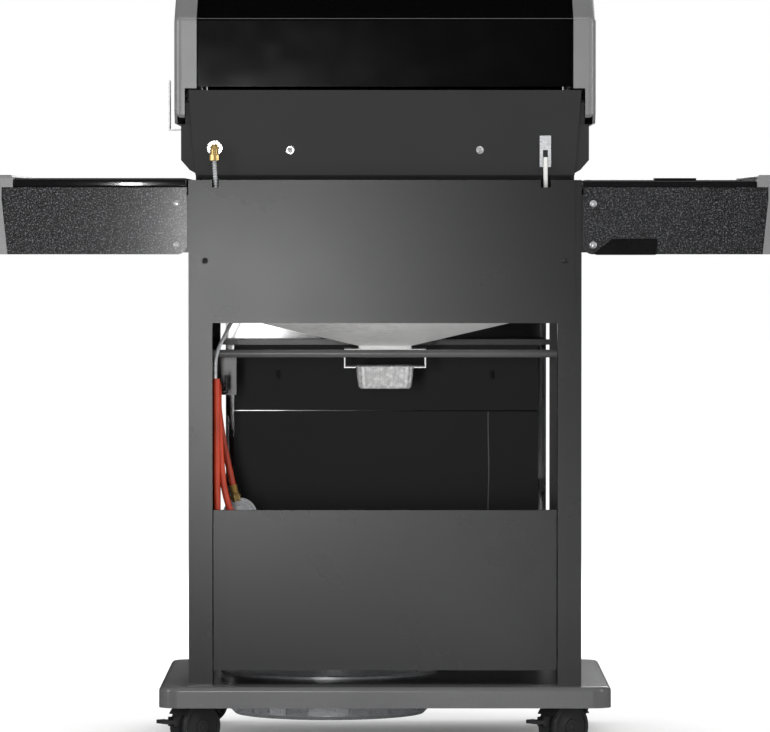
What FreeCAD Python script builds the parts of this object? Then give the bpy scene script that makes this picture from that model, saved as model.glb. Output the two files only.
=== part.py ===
import FreeCAD, Part
import math
import os
import re
import Sketcher

# Gas barbecue grill on a cabinet cart, in millimetres. +Z is up, the cook stands on the -Y side,
# and the origin is on the floor under the middle of the whole object.

SIZES = {
    # cart
    "base_width": 724, "base_front": 262, "base_rear": 320, "base_low": 70, "base_top": 104,
    "base_corner": 30, "sheet": 2, "post_side": 38, "post_wall": 1.5, "post_out": 314.5,
    "post_rear": 288, "post_front": 172, "rear_post_top": 914, "tray_level": 748, "slack": 1,
    # tank well in the base
    "well_x": 92, "well_y": -7, "well_radius": 165, "well_low": 36, "well_rim": 14, "rib_depth": 3,
    # rear covers
    "cover_half": 304.5, "cover_low": 685, "notch_right": 274, "notch_left": -257,
    "notch_width": 16, "notch_depth": 12, "panel_half": 275, "panel_low": 128, "panel_top": 385,
    # bar between the front posts
    "front_bar_y": 148, "front_bar_low": 641,
    # round rail across the back opening
    "rail_radius": 6.25, "rail_level": 635, "rail_half": 267.7, "rail_y": 235, "rail_bend": 12,
    "rail_leg": 95,
    # hose hook on the right side sheet
    "hook_y": 180, "hook_level": 572, "hook_radius": 4, "hook_end": 257, "shield_end": 243,
    # console
    "console_half": 313, "console_low": 698, "console_step": 748, "console_top": 908, "console_face": 275,
    "console_head": 273, "knob_level": 830, "knob_radius": 25, "knob_length": 24,
    "knob_pitch": 132, "stem_radius": 4,
    # firebox
    "cast_in": 299, "cast_out": 304, "cast_wide": 327, "cast_low": 750, "cast_step": 930,
    "cast_top": 1003, "box_front": 230, "box_rear": 245, "box_rear_wide": 266,
    "back_half": 315, "back_foot_half": 304, "back_low": 922, "back_top": 1058, "grid_top": 998,
    "rack_level": 1106, "rack_front": 30, "rack_wire": 3, "burner_level": 890,
    "burner_radius": 12.5, "burner_pitch": 180, "back_burner_left": 240,
    "back_burner_right": 255, "back_burner_low": 940, "back_burner_high": 990,
    # fittings on the back panel
    "inlet_level": 965, "spark_low": 935, "spark_high": 985, "back_screw_x": 152,
    "back_screw_z": 962, "cover_screw_z": 785,
    # drip funnel and cup
    "funnel_half": 255, "funnel_neck": 697, "funnel_low": 644, "spout_low": 637, "outlet_x": 0,
    "outlet_y": 40, "outlet_half": 43, "hanger_half": 67, "cup_half": 51, "cup_top": 617,
    "cup_low": 573, "cup_taper": 5,
    # lid
    "lid_half": 301, "lid_rear": 249, "lid_front": 262, "lid_low": 1064,
    "lid_shoulder": 1174, "lid_top": 1228, "lid_crown_rear": 165, "lid_crown_front": 105,
    "lid_knee": 1090, "lid_sheet": 1.5, "cap_out": 338, "cap_wall": 5, "cap_grow": 2,
    "cap_low": 1005, "cap_rear": 267, "hinge_y": 253, "hinge_z": 1030, "hinge_pin": 4, "ear_in": 308,
    "ear_out": 320, "handle_y": 307.5, "handle_z": 1042, "handle_radius": 12.5,
    "handle_half": 250, "gauge_radius": 36,
    # side shelves
    "shelf_in": 317, "shelf_out": 650, "shelf_top": 914, "shelf_lip": 902, "shelf_low": 795,
    "shelf_front": 250, "apron_end": 612, "end_in": 604, "end_top": 922, "bolt_x": 333,
    "bolt_low": 810, "bolt_high": 876, "bolt_radius": 3, "latch_x": 380, "latch_z": 808,
    # door
    "door_left": 271, "door_right": 268, "door_low": 112, "door_top": 692, "liner_top": 641,
    "liner_split": 528, "hook_x": 179, "door_front": 194,
    "door_depth": 20, "pivot_x": 262, "pivot_radius": 3,
    # casters
    "caster_x": 296, "caster_front": 205, "caster_rear": 255, "wheel_radius": 37,
    "disc_width": 11, "cheek_half": 8, "axle_radius": 3, "caster_trail": 12, "swivel_radius": 5.5,
    # gas hose
    "hose_radius": 5.25, "pipe_radius": 3, "lead_radius": 3.5, "line_radius": 4,
}

PLACES = {
    "post_in": "post_out - post_side",
    "rear_post_in": "post_rear - post_side",
    "front_post_in": "-post_front + post_side",
    "cover_rear": "post_rear + sheet",
    "cover_top": "rear_post_top",
    "side_in": "post_out - sheet",
    "plate_out": "post_out + sheet",
    "back_skin": "box_rear_wide + sheet",
    "cap_in": "lid_half + slack",
    "hub_level": "wheel_radius",
}

WORD = re.compile(r"[a-z][a-z_]*[a-z]")


def ex(text):
    """Expression in which every named size points at its cell of the sheet."""
    def cell(match):
        word = match.group(0)
        if word in PLACES:
            return "(" + ex(PLACES[word]) + ")"
        return "Sizes." + word if word in SIZES else word
    return WORD.sub(cell, str(text))


def value(text):
    """Present value of a named expression."""
    return float(sheet.evalExpression(ex(text)))


doc = FreeCAD.newDocument("GasGrill")
sheet = doc.addObject("Spreadsheet::Sheet", "Sizes")
for row, (alias, size) in enumerate(SIZES.items(), start=1):
    sheet.set(f"A{row}", alias)
    sheet.set(f"B{row}", str(size))
    sheet.setAlias(f"B{row}", alias)
doc.recompute()

V = FreeCAD.Vector
TURNS = {"x": FreeCAD.Rotation(V(0, 1, 0), 90), "y": FreeCAD.Rotation(V(1, 0, 0), -90),
         "z": FreeCAD.Rotation()}
finished = []


# ---------------------------------------------------------------- building helpers

def place(obj, spot):
    for axis, text in zip("xyz", spot):
        obj.setExpression(f"Placement.Base.{axis}", ex(text))
    return obj


def box(name, x, y, z):
    """Block between two named planes along each axis."""
    block = doc.addObject("Part::Box", name)
    for side, (low, high) in zip(("Length", "Width", "Height"), (x, y, z)):
        block.setExpression(side, ex(f"({high}) - ({low})"))
    return place(block, (x[0], y[0], z[0]))


def rod(name, radius, length, spot, axis="z"):
    """Round bar that starts at a spot and runs along +X, +Y or +Z."""
    bar = doc.addObject("Part::Cylinder", name)
    bar.setExpression("Radius", ex(radius))
    bar.setExpression("Height", ex(length))
    bar.Placement = FreeCAD.Placement(V(), TURNS[axis])
    return place(bar, spot)


def cone(name, low_radius, high_radius, length, spot, axis="z"):
    part = doc.addObject("Part::Cone", name)
    part.setExpression("Radius1", ex(low_radius))
    part.setExpression("Radius2", ex(high_radius))
    part.setExpression("Height", ex(length))
    part.Placement = FreeCAD.Placement(V(), TURNS[axis])
    return place(part, spot)


def fuse(name, *shapes):
    joined = doc.addObject("Part::MultiFuse", name)
    joined.Shapes = list(shapes)
    return joined


def cut(name, base, *tools):
    result = doc.addObject("Part::Cut", name)
    result.Base = base
    result.Tool = tools[0] if len(tools) == 1 else fuse(name + "_tools", *tools)
    return result


def common(name, *shapes):
    shared = doc.addObject("Part::MultiCommon", name)
    shared.Shapes = list(shapes)
    return shared


def group(name, *shapes):
    """Several separate pieces that share one node."""
    bundle = doc.addObject("Part::Compound", name)
    bundle.Links = list(shapes)
    return bundle


def mirrored(name, source):
    twin = doc.addObject("Part::Mirroring", name)
    twin.Source = source
    twin.Normal = V(1, 0, 0)
    return twin


def finish(obj):
    obj.Label = obj.Name
    finished.append(obj)
    return obj


def sketch(body, name, plane, offset, outline, circles=()):
    """Closed outline of named points, with round holes, on an origin plane of the body."""
    drawing = body.newObject("Sketcher::SketchObject", name)
    support = next(item for item in body.Origin.OriginFeatures if item.Role == plane + "_Plane")
    drawing.AttachmentSupport = [(support, "")]
    drawing.MapMode = "FlatFace"
    drawing.setExpression("AttachmentOffset.Base.z", ex(offset))
    spots = [V(value(x), value(y), 0) for x, y in outline]
    for here, after in zip(spots, spots[1:] + spots[:1]):
        drawing.addGeometry(Part.LineSegment(here, after), False)
    for line in range(len(spots)):
        after = (line + 1) % len(spots)
        drawing.addConstraint(Sketcher.Constraint("Coincident", line, 2, after, 1))
    pinned = [(line, 1, point) for line, point in enumerate(outline)]
    for x, y, radius in circles:
        ring = drawing.addGeometry(Part.Circle(V(value(x), value(y), 0), V(0, 0, 1),
                                               value(radius)), False)
        size = drawing.addConstraint(Sketcher.Constraint("Radius", ring, value(radius)))
        drawing.setExpression(f"Constraints[{size}]", ex(radius))
        pinned.append((ring, 3, (x, y)))
    for geometry, vertex, point in pinned:
        for kind, text in zip(("DistanceX", "DistanceY"), point):
            rule = Sketcher.Constraint(kind, -1, 1, geometry, vertex, value(text))
            drawing.setExpression(f"Constraints[{drawing.addConstraint(rule)}]", ex(text))
    return drawing


def pad(name, plane, low, high, outline, circles=()):
    """Body padded along the plane's normal, from one named level to another."""
    body = doc.addObject("PartDesign::Body", name)
    drawing = sketch(body, name + "_outline", plane, low, outline, circles)
    feature = body.newObject("PartDesign::Pad", name + "_pad")
    feature.Profile = drawing
    feature.setExpression("Length", ex(f"({high}) - ({low})"))
    drawing.Visibility = False
    doc.recompute()
    return body


def pocket(body, name, plane, low, high, outline, circles=()):
    """Cut through the body between two levels along the plane's normal."""
    before = body.Shape.Volume
    drawing = sketch(body, name + "_outline", plane, high, outline, circles)
    feature = body.newObject("PartDesign::Pocket", name)
    feature.Profile = drawing
    feature.setExpression("Length", ex(f"({high}) - ({low})"))
    doc.recompute()
    if body.Shape.Volume > before - 1:
        raise ValueError(f"{name} cut nothing")
    return body


def soften(body, name, radius, wanted, kind="Fillet"):
    """Round or bevel every edge of the tip that the test accepts."""
    doc.recompute()
    names = [f"Edge{number}" for number, edge in enumerate(body.Shape.Edges, start=1)
             if wanted(edge)]
    solid = body.Tip
    feature = body.newObject("PartDesign::" + kind, name)
    feature.Base = (solid, names)
    feature.setExpression("Radius" if kind == "Fillet" else "Size", ex(radius))
    doc.recompute()
    return body


def spin(name, plane, outline, axis):
    """Body of revolution about the sketch's own vertical or horizontal axis."""
    body = doc.addObject("PartDesign::Body", name)
    drawing = sketch(body, name + "_outline", plane, "0", outline)
    feature = body.newObject("PartDesign::Revolution", name + "_turned")
    feature.Profile = drawing
    feature.ReferenceAxis = (drawing, [axis])
    feature.Angle = 360
    doc.recompute()
    return body


def along(axis):
    """Test for straight edges that run along one axis."""
    def wanted(edge):
        ends = edge.Vertexes
        if len(ends) != 2 or edge.Curve.TypeId != "Part::GeomLine":
            return False
        run = ends[1].Point - ends[0].Point
        return abs(abs(run[axis]) - run.Length) < 1e-6
    return wanted


def rectangle(x, y):
    return [(x[0], y[0]), (x[1], y[0]), (x[1], y[1]), (x[0], y[1])]


def tube_path(points, say=""):
    """Straight runs joined by tangent arcs, each as large as its two runs allow."""
    edges = []
    start = points[0]
    radii = []
    for before, corner, after in zip(points, points[1:], points[2:]):
        way_in = (corner - before).normalize()
        way_out = (after - corner).normalize()
        turn = way_in.getAngle(way_out)
        reach = 0.45 * min((corner - before).Length, (after - corner).Length)
        radii.append(reach / math.tan(turn / 2))
        first = corner - way_in * reach
        last = corner + way_out * reach
        middle = (way_out - way_in).normalize()
        centre = corner + middle * (reach / math.tan(turn / 2) / math.cos(turn / 2))
        crown = centre - middle * radii[-1]
        edges.append(Part.LineSegment(start, first).toShape())
        edges.append(Part.Arc(first, crown, last).toShape())
        start = last
    edges.append(Part.LineSegment(start, points[-1]).toShape())
    if say:
        print(say, "length", round(sum(edge.Length for edge in edges)),
              "radii", [round(radius) for radius in radii])
    return Part.Wire(edges)


def cord(name, points, radius):
    """Solid tube that follows a route chosen by hand."""
    points = [V(*point) for point in points]
    path = tube_path(points, name)
    ring = Part.Wire([Part.Circle(points[0], points[1] - points[0], radius).toShape()])
    solid = path.makePipeShell([ring], True, False)
    wanted = math.pi * radius ** 2 * path.Length
    if abs(solid.Volume - wanted) > 0.01 * wanted:
        raise ValueError(f"{name} does not fill its route")
    tube = doc.addObject("Part::Feature", name)
    tube.Shape = solid
    return finish(tube)


# ---------------------------------------------------------------- cart

def build_base():
    """Pan with a rolled top edge, a skirt, a round well opening and four stem sockets."""
    half = "base_width / 2"
    sides = (("-" + half, half), ("-base_front", "base_rear"))
    base = pad("base_pan", "XY", "base_low", "base_top", rectangle(*sides))
    soften(base, "base_corners", "base_corner", along(2))
    soften(base, "base_rolled_edge", "base_corner / 4",
           lambda edge: min(v.Z for v in edge.Vertexes) > value("base_top") - 0.1)
    inner = [tuple(f"{sign}({edge} - sheet)" for sign, edge in zip("-+", pair))
             for pair in ((half, half), ("base_front", "base_rear"))]
    hollow = pad("base_hollow", "XY", "base_low - 1", "base_top - sheet", rectangle(*inner))
    soften(hollow, "hollow_corners", "base_corner - sheet", along(2))
    soften(hollow, "hollow_rolled_edge", "base_corner / 4 - sheet",
           lambda edge: min(v.Z for v in edge.Vertexes) > value("base_top - sheet") - 0.1)
    opening = rod("well_opening", "well_radius + slack", "base_top", ("well_x", "well_y", "0"))
    shell = cut("base_shell", base, hollow, opening)
    sockets = []
    bores = []
    for side, x in (("left", "-caster_x"), ("right", "caster_x")):
        for end, y in (("front", "-caster_front"), ("rear", "caster_rear")):
            spot = (x, y, "base_low + 10")
            sockets.append(rod(f"socket_{end}_{side}", "swivel_radius + 5",
                               "base_top - base_low - 10 - sheet / 2", spot))
            bores.append(rod(f"socket_bore_{end}_{side}", "swivel_radius + 0.05",
                             "base_top - base_low - 10 - sheet", spot))
    finish(cut("base_shelf", fuse("base_with_sockets", shell, *sockets), *bores))


def build_well():
    """Ribbed cup that carries the bottle, hung in the base on its rim."""
    rim = "well_radius + well_rim"
    wall = "well_radius - rib_depth"
    outline = [("0", "well_low"), (wall + " - 6", "well_low"), (wall, "well_low + 6"),
               (wall, "base_top"), (rim, "base_top"), (rim, "base_top + 4"),
               (wall + " - sheet", "base_top + 4"), (wall + " - sheet", "well_low + 7"),
               (wall + " - 7", "well_low + sheet"), ("0", "well_low + sheet")]
    cup = spin("tank_recess", "XZ", outline, "V_Axis")
    rib = sketch(cup, "rib_outline", "XY", "well_low + 8",
                 rectangle((wall + " - sheet / 2", "well_radius"), ("-15", "15")))
    raised = cup.newObject("PartDesign::Pad", "rib")
    raised.Profile = rib
    raised.setExpression("Length", ex("base_top - well_low - 8"))
    doc.recompute()
    ribs = cup.newObject("PartDesign::PolarPattern", "ribs")
    ribs.Originals = [raised]
    axes = {item.Role: item for item in cup.Origin.OriginFeatures}
    ribs.Axis = (axes["Z_Axis"], [""])
    ribs.Angle = 360
    ribs.Occurrences = 30
    cup.Tip = ribs
    finish(place(cup, ("well_x", "well_y", "0")))


def post(name, x, y, top):
    tube = box(name + "_bar", x, y, ("base_top", top))
    inside = [(f"{low} + post_wall", f"{high} - post_wall") for low, high in (x, y)]
    return cut(name, tube, box(name + "_hollow", *inside, ("base_top - 1", f"{top} - 2")))


def build_posts():
    posts = []
    for side, x in (("left", ("-post_out", "-post_in")), ("right", ("post_in", "post_out"))):
        posts.append(post("rear_post_" + side, x, ("rear_post_in", "post_rear"),
                          "rear_post_top"))
        posts.append(post("front_post_" + side, x, ("-post_front", "front_post_in"),
                          "tray_level"))
    crossbar = box("front_crossbar", ("-post_in", "post_in"), ("-front_bar_y", "-front_bar_y + 8"),
                   ("front_bar_low", "front_bar_low + 9"))
    finish(group("cabinet_posts", *posts, crossbar, *build_door_pins()))


def build_side_panels():
    """Sheets between the posts, each with a shelf turned in under the firebox."""
    y = ("front_post_in + slack", "rear_post_in - slack")
    sheets = []
    for side, skin, lip in (("left", ("-post_out", "-side_in"), ("-post_out", "-cast_in + 5")),
                            ("right", ("side_in", "post_out"), ("cast_in - 5", "post_out"))):
        wall = box("side_sheet_" + side, skin, y, ("base_top", "cast_low"))
        shelf = box("side_turned_edge_" + side, lip, y, ("tray_level", "cast_low"))
        pieces = [wall, shelf]
        if side == "right":
            pieces += [rod("hose_hook", "hook_radius", "side_in - hook_end",
                           ("hook_end", "hook_y", "hook_level"), "x"),
                       rod("hook_tip", "hook_radius - 1", "30",
                           ("hook_end", "hook_y", "hook_level - 3")),
                       box("hook_shield", ("shield_end", "side_in"), ("hook_y - 92", "hook_y - 90"),
                           ("hook_level - 8", "hook_level + 54"))]
        sheets.append(fuse("side_panel_" + side, *pieces))
    finish(group("side_panels", *sheets))


def build_rear_panels():
    """Upper cover on the posts and lower panel between them, both with folded edges."""
    half = "cover_half"
    skin = pad("rear_cover_skin", "XZ", "-cover_rear", "-post_rear",
               rectangle(("-" + half, half), ("cover_low", "cover_top")))
    soften(skin, "cover_corners", "6", lambda edge: along(1)(edge)
           and edge.Vertexes[0].Z < value("cover_low") + 1)
    folds = [box(f"cover_fold_{end}", ("-post_in + 3", "post_in - 3"),
                 ("post_rear - 14", "post_rear"), level)
             for end, level in (("low", ("cover_low + 8", "cover_low + 8 + sheet")),
                                ("high", ("cover_top - sheet", "cover_top")))]
    notches = [box(f"cover_notch_{side}", (f"{x} - notch_width / 2", f"{x} + notch_width / 2"),
                   ("post_rear - 20", "cover_rear + 5"), ("cover_top - notch_depth",
                                                         "cover_top + 5"))
               for side, x in (("right", "notch_right"), ("left", "notch_left"))]
    finish(cut("rear_cover", fuse("cover_folded", skin, *folds), *notches))

    low, high = "panel_low", "panel_top"
    sheet_skin = box("lower_skin", ("-panel_half", "panel_half"),
                     ("post_rear - 8", "post_rear - 8 + sheet"), (low, high))
    turned = [box(f"lower_turn_{end}", ("-panel_half", "panel_half"),
                  ("post_rear - 20", "post_rear - 8"), level)
              for end, level in (("low", (low, low + " + sheet")),
                                 ("high", (high + " - sheet", high)))]
    finish(fuse("lower_rear_panel", sheet_skin, *turned))


def build_rail():
    """Bent round bar across the back opening, welded to a tab at each end."""
    body = doc.addObject("PartDesign::Body", "rail_bar")
    route = body.newObject("Sketcher::SketchObject", "rail_route")
    flat = next(item for item in body.Origin.OriginFeatures if item.Role == "XY_Plane")
    route.AttachmentSupport = [(flat, "")]
    route.MapMode = "FlatFace"
    route.setExpression("AttachmentOffset.Base.z", ex("rail_level"))
    half, back, bend = value("rail_half"), value("rail_y"), value("rail_bend")
    front = back - value("rail_leg")
    route.addGeometry(Part.LineSegment(V(half, front), V(half, back - bend)), False)
    route.addGeometry(Part.ArcOfCircle(Part.Circle(V(half - bend, back - bend), V(0, 0, 1),
                                                   bend), 0, math.pi / 2), False)
    route.addGeometry(Part.LineSegment(V(half - bend, back), V(bend - half, back)), False)
    route.addGeometry(Part.ArcOfCircle(Part.Circle(V(bend - half, back - bend), V(0, 0, 1),
                                                   bend), math.pi / 2, math.pi), False)
    route.addGeometry(Part.LineSegment(V(-half, back - bend), V(-half, front)), False)
    for line, end, following, start in ((0, 2, 1, 1), (1, 2, 2, 1), (2, 2, 3, 1), (3, 2, 4, 1)):
        route.addConstraint(Sketcher.Constraint("Tangent", line, end, following, start))
    for kind, geometry, vertex, text in (
            ("DistanceX", 0, 1, "rail_half"), ("DistanceY", 0, 1, "rail_y - rail_leg"),
            ("DistanceX", 4, 2, "-rail_half"), ("DistanceY", 4, 2, "rail_y - rail_leg"),
            ("DistanceY", 2, 1, "rail_y")):
        rule = Sketcher.Constraint(kind, -1, 1, geometry, vertex, value(text))
        route.setExpression(f"Constraints[{route.addConstraint(rule)}]", ex(text))
    for arc in (1, 3):
        rule = route.addConstraint(Sketcher.Constraint("Radius", arc, bend))
        route.setExpression(f"Constraints[{rule}]", ex("rail_bend"))
    route.addConstraint(Sketcher.Constraint("Vertical", 0))
    route.addConstraint(Sketcher.Constraint("Horizontal", 2))
    ring = body.newObject("Sketcher::SketchObject", "rail_section")
    upright = next(item for item in body.Origin.OriginFeatures if item.Role == "XZ_Plane")
    ring.AttachmentSupport = [(upright, "")]
    ring.MapMode = "FlatFace"
    ring.setExpression("AttachmentOffset.Base.z", ex("-(rail_y - rail_leg)"))
    ring.addGeometry(Part.Circle(V(half, value("rail_level")), V(0, 0, 1),
                                 value("rail_radius")), False)
    for kind, text in (("DistanceX", "rail_half"), ("DistanceY", "rail_level")):
        rule = ring.addConstraint(Sketcher.Constraint(kind, -1, 1, 0, 3, value(text)))
        ring.setExpression(f"Constraints[{rule}]", ex(text))
    rule = ring.addConstraint(Sketcher.Constraint("Radius", 0, value("rail_radius")))
    ring.setExpression(f"Constraints[{rule}]", ex("rail_radius"))
    pipe = body.newObject("PartDesign::AdditivePipe", "rail_sweep")
    pipe.Profile = ring
    pipe.Spine = (route, [])
    doc.recompute()
    tabs = []
    for side, x in (("right", ("rail_half", "side_in")), ("left", ("-side_in", "-rail_half"))):
        tabs.append(box("rail_tab_" + side, x,
                        ("rail_y - rail_leg - 3", "rail_y - rail_leg + 3"),
                        ("rail_level - 12", "rail_level + 12")))
    finish(fuse("cabinet_rail", body, *tabs))


def build_screws(shelf_bolts):
    """Screws of the rear cover and back panel, and the low bolts of the shelves."""
    screws = []

    def rear_screw(name, x, y, z, head, length, depth):
        screws.append(fuse(name, rod(name + "_head", head, "3", (x, y, z), "y"),
                           rod(name + "_shank", "bolt_radius - 0.5", length,
                               (x, f"{y} - {depth}", z), "y")))
    for side, x in (("right", "cover_half - 16.5"), ("left", "16.5 - cover_half")):
        rear_screw("cover_screw_" + side, x, "cover_rear", "cover_screw_z", "5", "4", "0")
    for side, x in (("right", "back_screw_x"), ("left", "-back_screw_x")):
        rear_screw("back_screw_" + side, x, "back_skin", "back_screw_z", "5", "4", "0")
    finish(group("frame_screws", *screws, *shelf_bolts))


# ---------------------------------------------------------------- console and burners

def build_console():
    """Folded fascia: sloping control face over a header strip, with turned ends."""
    face, head = "-console_face", "-console_head"
    outer = [(face, "console_step"), (head, "console_top"), ("-box_front - 3", "console_top"),
             ("-box_front - 3", "console_top - sheet"), (f"{head} + sheet", "console_top - sheet"),
             (f"{face} + sheet", "console_step + sheet"), ("-door_front", "console_step + sheet"),
             ("-door_front", "console_low"), ("-door_front - sheet", "console_low"),
             ("-door_front - sheet", "console_step")]
    strip = pad("console_sheet", "YZ", "-console_half", "console_half", outer)
    holes = []
    for number in range(4):
        holes.append(rod(f"stem_hole_{number + 1}", "stem_radius + 1", "60",
                         (knob_x(number), "-console_face - 10", "knob_level"), "y"))
    holes.append(rod("button_hole", "8", "60", (button_x(), "-console_face - 10",
                                                "knob_level"), "y"))
    ends = []
    for side, x in (("left", ("-console_half", "-console_half + sheet")),
                    ("right", ("console_half - sheet", "console_half"))):
        ends.append(pad("console_end_" + side, "YZ", *x, [
            (face, "console_step"), (head, "console_top"), ("-box_front - 3", "console_top"),
            ("-box_front - 3", "console_step")]))
    for side, x in (("left", ("-280", "-226")), ("right", ("226", "280"))):
        holes.append(box("pipe_notch_" + side, x, ("-door_front - 22", "-door_front + 5"),
                         ("console_step - 18", "console_step + 4")))
    module = box("spark_module", ("-console_half + sheet", "-262"), ("-247", "-232"),
                 ("800", "816"))
    finish(cut("control_panel", fuse("console_folded", strip, *ends, module), *holes))


def knob_x(number):
    return f"({number} - 1.5) * knob_pitch"


def button_x():
    return "-2.1 * knob_pitch"


def build_manifold():
    """Gas tube behind the console with one tap for each knob."""
    tube = rod("manifold_tube", "9", "2 * console_half - 60",
               ("-console_half + 30", "-box_front - 12", "knob_level"), "x")
    taps = []
    for number in range(4):
        x = knob_x(number)
        taps.append(box(f"tap_block_{number + 1}", (f"{x} - 11", f"{x} + 11"),
                        ("-box_front - 24", "-box_front - 3"),
                        ("knob_level - 13", "knob_level + 13")))
        taps.append(rod(f"tap_stem_{number + 1}", "stem_radius", "26",
                        (x, "-console_face - 10", "knob_level"), "y"))
        taps.append(rod(f"tap_nose_{number + 1}", "6", "14",
                        (x, "-console_face + 14", "knob_level"), "y"))
    finish(fuse("gas_manifold", tube, *taps))


def build_knobs():
    """Skirted knobs with a finger bar, each with a blind bore that fits its stem."""
    for number in range(4):
        x = knob_x(number)
        face = "-console_face - 3"
        skirt = cone(f"knob_skirt_{number + 1}", "knob_radius - 4", "knob_radius", "8",
                     (x, f"{face} - 8", "knob_level"), "y")
        barrel = cone(f"knob_barrel_{number + 1}", "knob_radius - 8", "knob_radius - 5",
                      "knob_length - 8", (x, f"{face} - knob_length", "knob_level"), "y")
        grip = box(f"knob_grip_{number + 1}", (f"{x} - 4.5", f"{x} + 4.5"),
                   (f"{face} - knob_length - 7", f"{face} - 4"),
                   ("knob_level - knob_radius + 5", "knob_level + knob_radius - 5"))
        bore = rod(f"knob_bore_{number + 1}", "stem_radius + 0.05", "10",
                   (x, f"{face} - 8", "knob_level"), "y")
        finish(cut(f"knob_{number + 1}",
                   fuse(f"knob_solid_{number + 1}", skirt, barrel, grip), bore))
    cap = rod("button_cap", "10", "5", (button_x(), "-console_face - 12", "knob_level"), "y")
    shaft = rod("button_shaft", "6.5", "26", (button_x(), "-console_face - 8",
                                              "knob_level"), "y")
    finish(fuse("ignition_button", cap, shaft))


def build_burners():
    """Three slotted tube burners and a flame tamer over each."""
    tubes, tents = [], []
    for number in range(3):
        x = f"({number} - 1) * burner_pitch"
        outer = rod(f"burner_wall_{number + 1}", "burner_radius", "box_front + box_rear - 30",
                    (x, "-box_front + 8", "burner_level"), "y")
        inner = rod(f"burner_bore_{number + 1}", "burner_radius - sheet / 2",
                    "box_front + box_rear - 38", (x, "-box_front + 7", "burner_level"), "y")
        tubes.append(cut(f"burner_{number + 1}", outer, inner))
        peak, foot, half = "burner_level + 62", "burner_level + 28", "48"
        tents.append(pad(f"tamer_{number + 1}", "XZ", "-box_rear + 40", "box_front - 20", [
            (f"{x} - {half}", foot), (f"{x}", peak), (f"{x} + {half}", foot),
            (f"{x} + {half} - 3", foot), (f"{x}", f"{peak} - 3"), (f"{x} - {half} + 3", foot)]))
    finish(group("burner_tubes", *tubes))
    finish(group("flame_tamers", *tents))


def build_grids():
    """Two cast grids, each a plate pierced by a row of long slots."""
    grids = []
    for side, x in (("left", ("-cast_in + 3", "-1")), ("right", ("1", "cast_in - 3"))):
        y = ("-box_front + 8", "box_rear - 40")
        grid = pad("grid_" + side, "XY", "grid_top - 12", "grid_top", rectangle(x, y))
        first = (f"{x[0]} + 10", f"{x[0]} + 20")
        slot = (y[0] + " + 10", y[1] + " - 10")
        pocket(grid, "grid_slot_" + side, "XY", "grid_top - 13", "grid_top",
               rectangle(first, slot))
        row = grid.newObject("PartDesign::LinearPattern", "grid_slots_" + side)
        row.Originals = [grid.getObject("grid_slot_" + side)]
        row.Direction = (grid.getObject("grid_slot_" + side).Profile[0], ["H_Axis"])
        row.setExpression("Length", ex("cast_in - 3 - 30 - 1"))
        row.Occurrences = 16
        grid.Tip = row
        grids.append(grid)
    finish(group("cooking_grids", *grids))


def build_warming_rack():
    """Wire rack on four legs that stand on the firebox ends."""
    wires, legs = [], []
    level, rear = "rack_level", "box_rear - 45"
    for number, y in enumerate(("rack_front", rear)):
        rail = rod(f"rack_rail_{number}", "rack_wire", "2 * cast_in", ("-cast_in", y, level), "x")
        wires.append(rail)
        for side, x in (("left", "-cast_in + 3"), ("right", "cast_in - 3")):
            leg = rod(f"rack_leg_solid_{side}_{number}", "rack_wire", f"{level} - 1.5 - cast_top",
                      (x, y, "cast_top"), "z")
            legs.append(cut(f"rack_leg_{side}_{number}", leg, rail))
    for number in range(23):
        wires.append(rod(f"rack_wire_{number}", "rack_wire - 1", f"{rear} - rack_front",
                         (f"({number} - 11) * (cast_in - 10) / 11.5", "rack_front", level), "y"))
    finish(group("warming_rack", fuse("rack_grid", *wires), *legs))


def build_rear_burner():
    """Shallow burner box on the inside of the back panel."""
    y = ("box_rear - 15", "box_rear_wide")
    outer = box("rear_burner_box", ("-back_burner_left", "back_burner_right"), y,
                ("back_burner_low", "back_burner_high"))
    within = ("-back_burner_left + 4", "back_burner_right - 4")
    height = ("back_burner_low + 4", "back_burner_high - 4")
    inner = box("rear_burner_hollow", within, ("box_rear - 16", "box_rear_wide - 4"), height)
    plate = box("rear_burner_mesh", within, ("box_rear - 8", "box_rear - 5"), height)
    finish(fuse("rear_burner", cut("rear_burner_shell", outer, inner), plate))


def build_rear_gas():
    """Brass elbow on the back panel; the flexible line hangs from its nut."""
    x, y, z = "notch_right", "back_skin", "inlet_level"
    disc = rod("elbow_disc", "12.5", "2", (x, y, z), "y")
    body = rod("elbow_body", "6", "22", (x, y, z), "y")
    drop = rod("elbow_drop", "5.5", "20", (x, f"{y} + 14", f"{z} - 20"), "z")
    nut = rod("elbow_nut", "8", "9", (x, f"{y} + 14", f"{z} - 19"), "z")
    stub = rod("elbow_stub", "5", "14", (x, y + " - 12", z), "y")
    finish(fuse("rear_gas_elbow", disc, body, drop, nut, stub))
    cord("rear_gas_line", LINE_ROUTE, value("line_radius"))


def build_igniter():
    """Slotted plate with a screw on the back panel, and the white lead that leaves it."""
    plate = box("igniter_plate", ("notch_left - 9", "notch_left + 9"),
                ("back_skin", "back_skin + sheet"), ("spark_low", "spark_high"))
    slot = box("igniter_slot", ("notch_left - 4", "notch_left + 4"),
               ("back_skin - 1", "back_skin + 5"), ("spark_low + 3", "spark_low + 27"))
    screw = rod("igniter_screw", "5", "2.5",
                ("notch_left", "back_skin + sheet", "spark_high - 9"), "y")
    finish(fuse("igniter_bracket", cut("igniter_slotted", plate, slot), screw))
    cord("igniter_lead", LEAD_ROUTE, value("lead_radius"))


# ---------------------------------------------------------------- firebox

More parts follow.
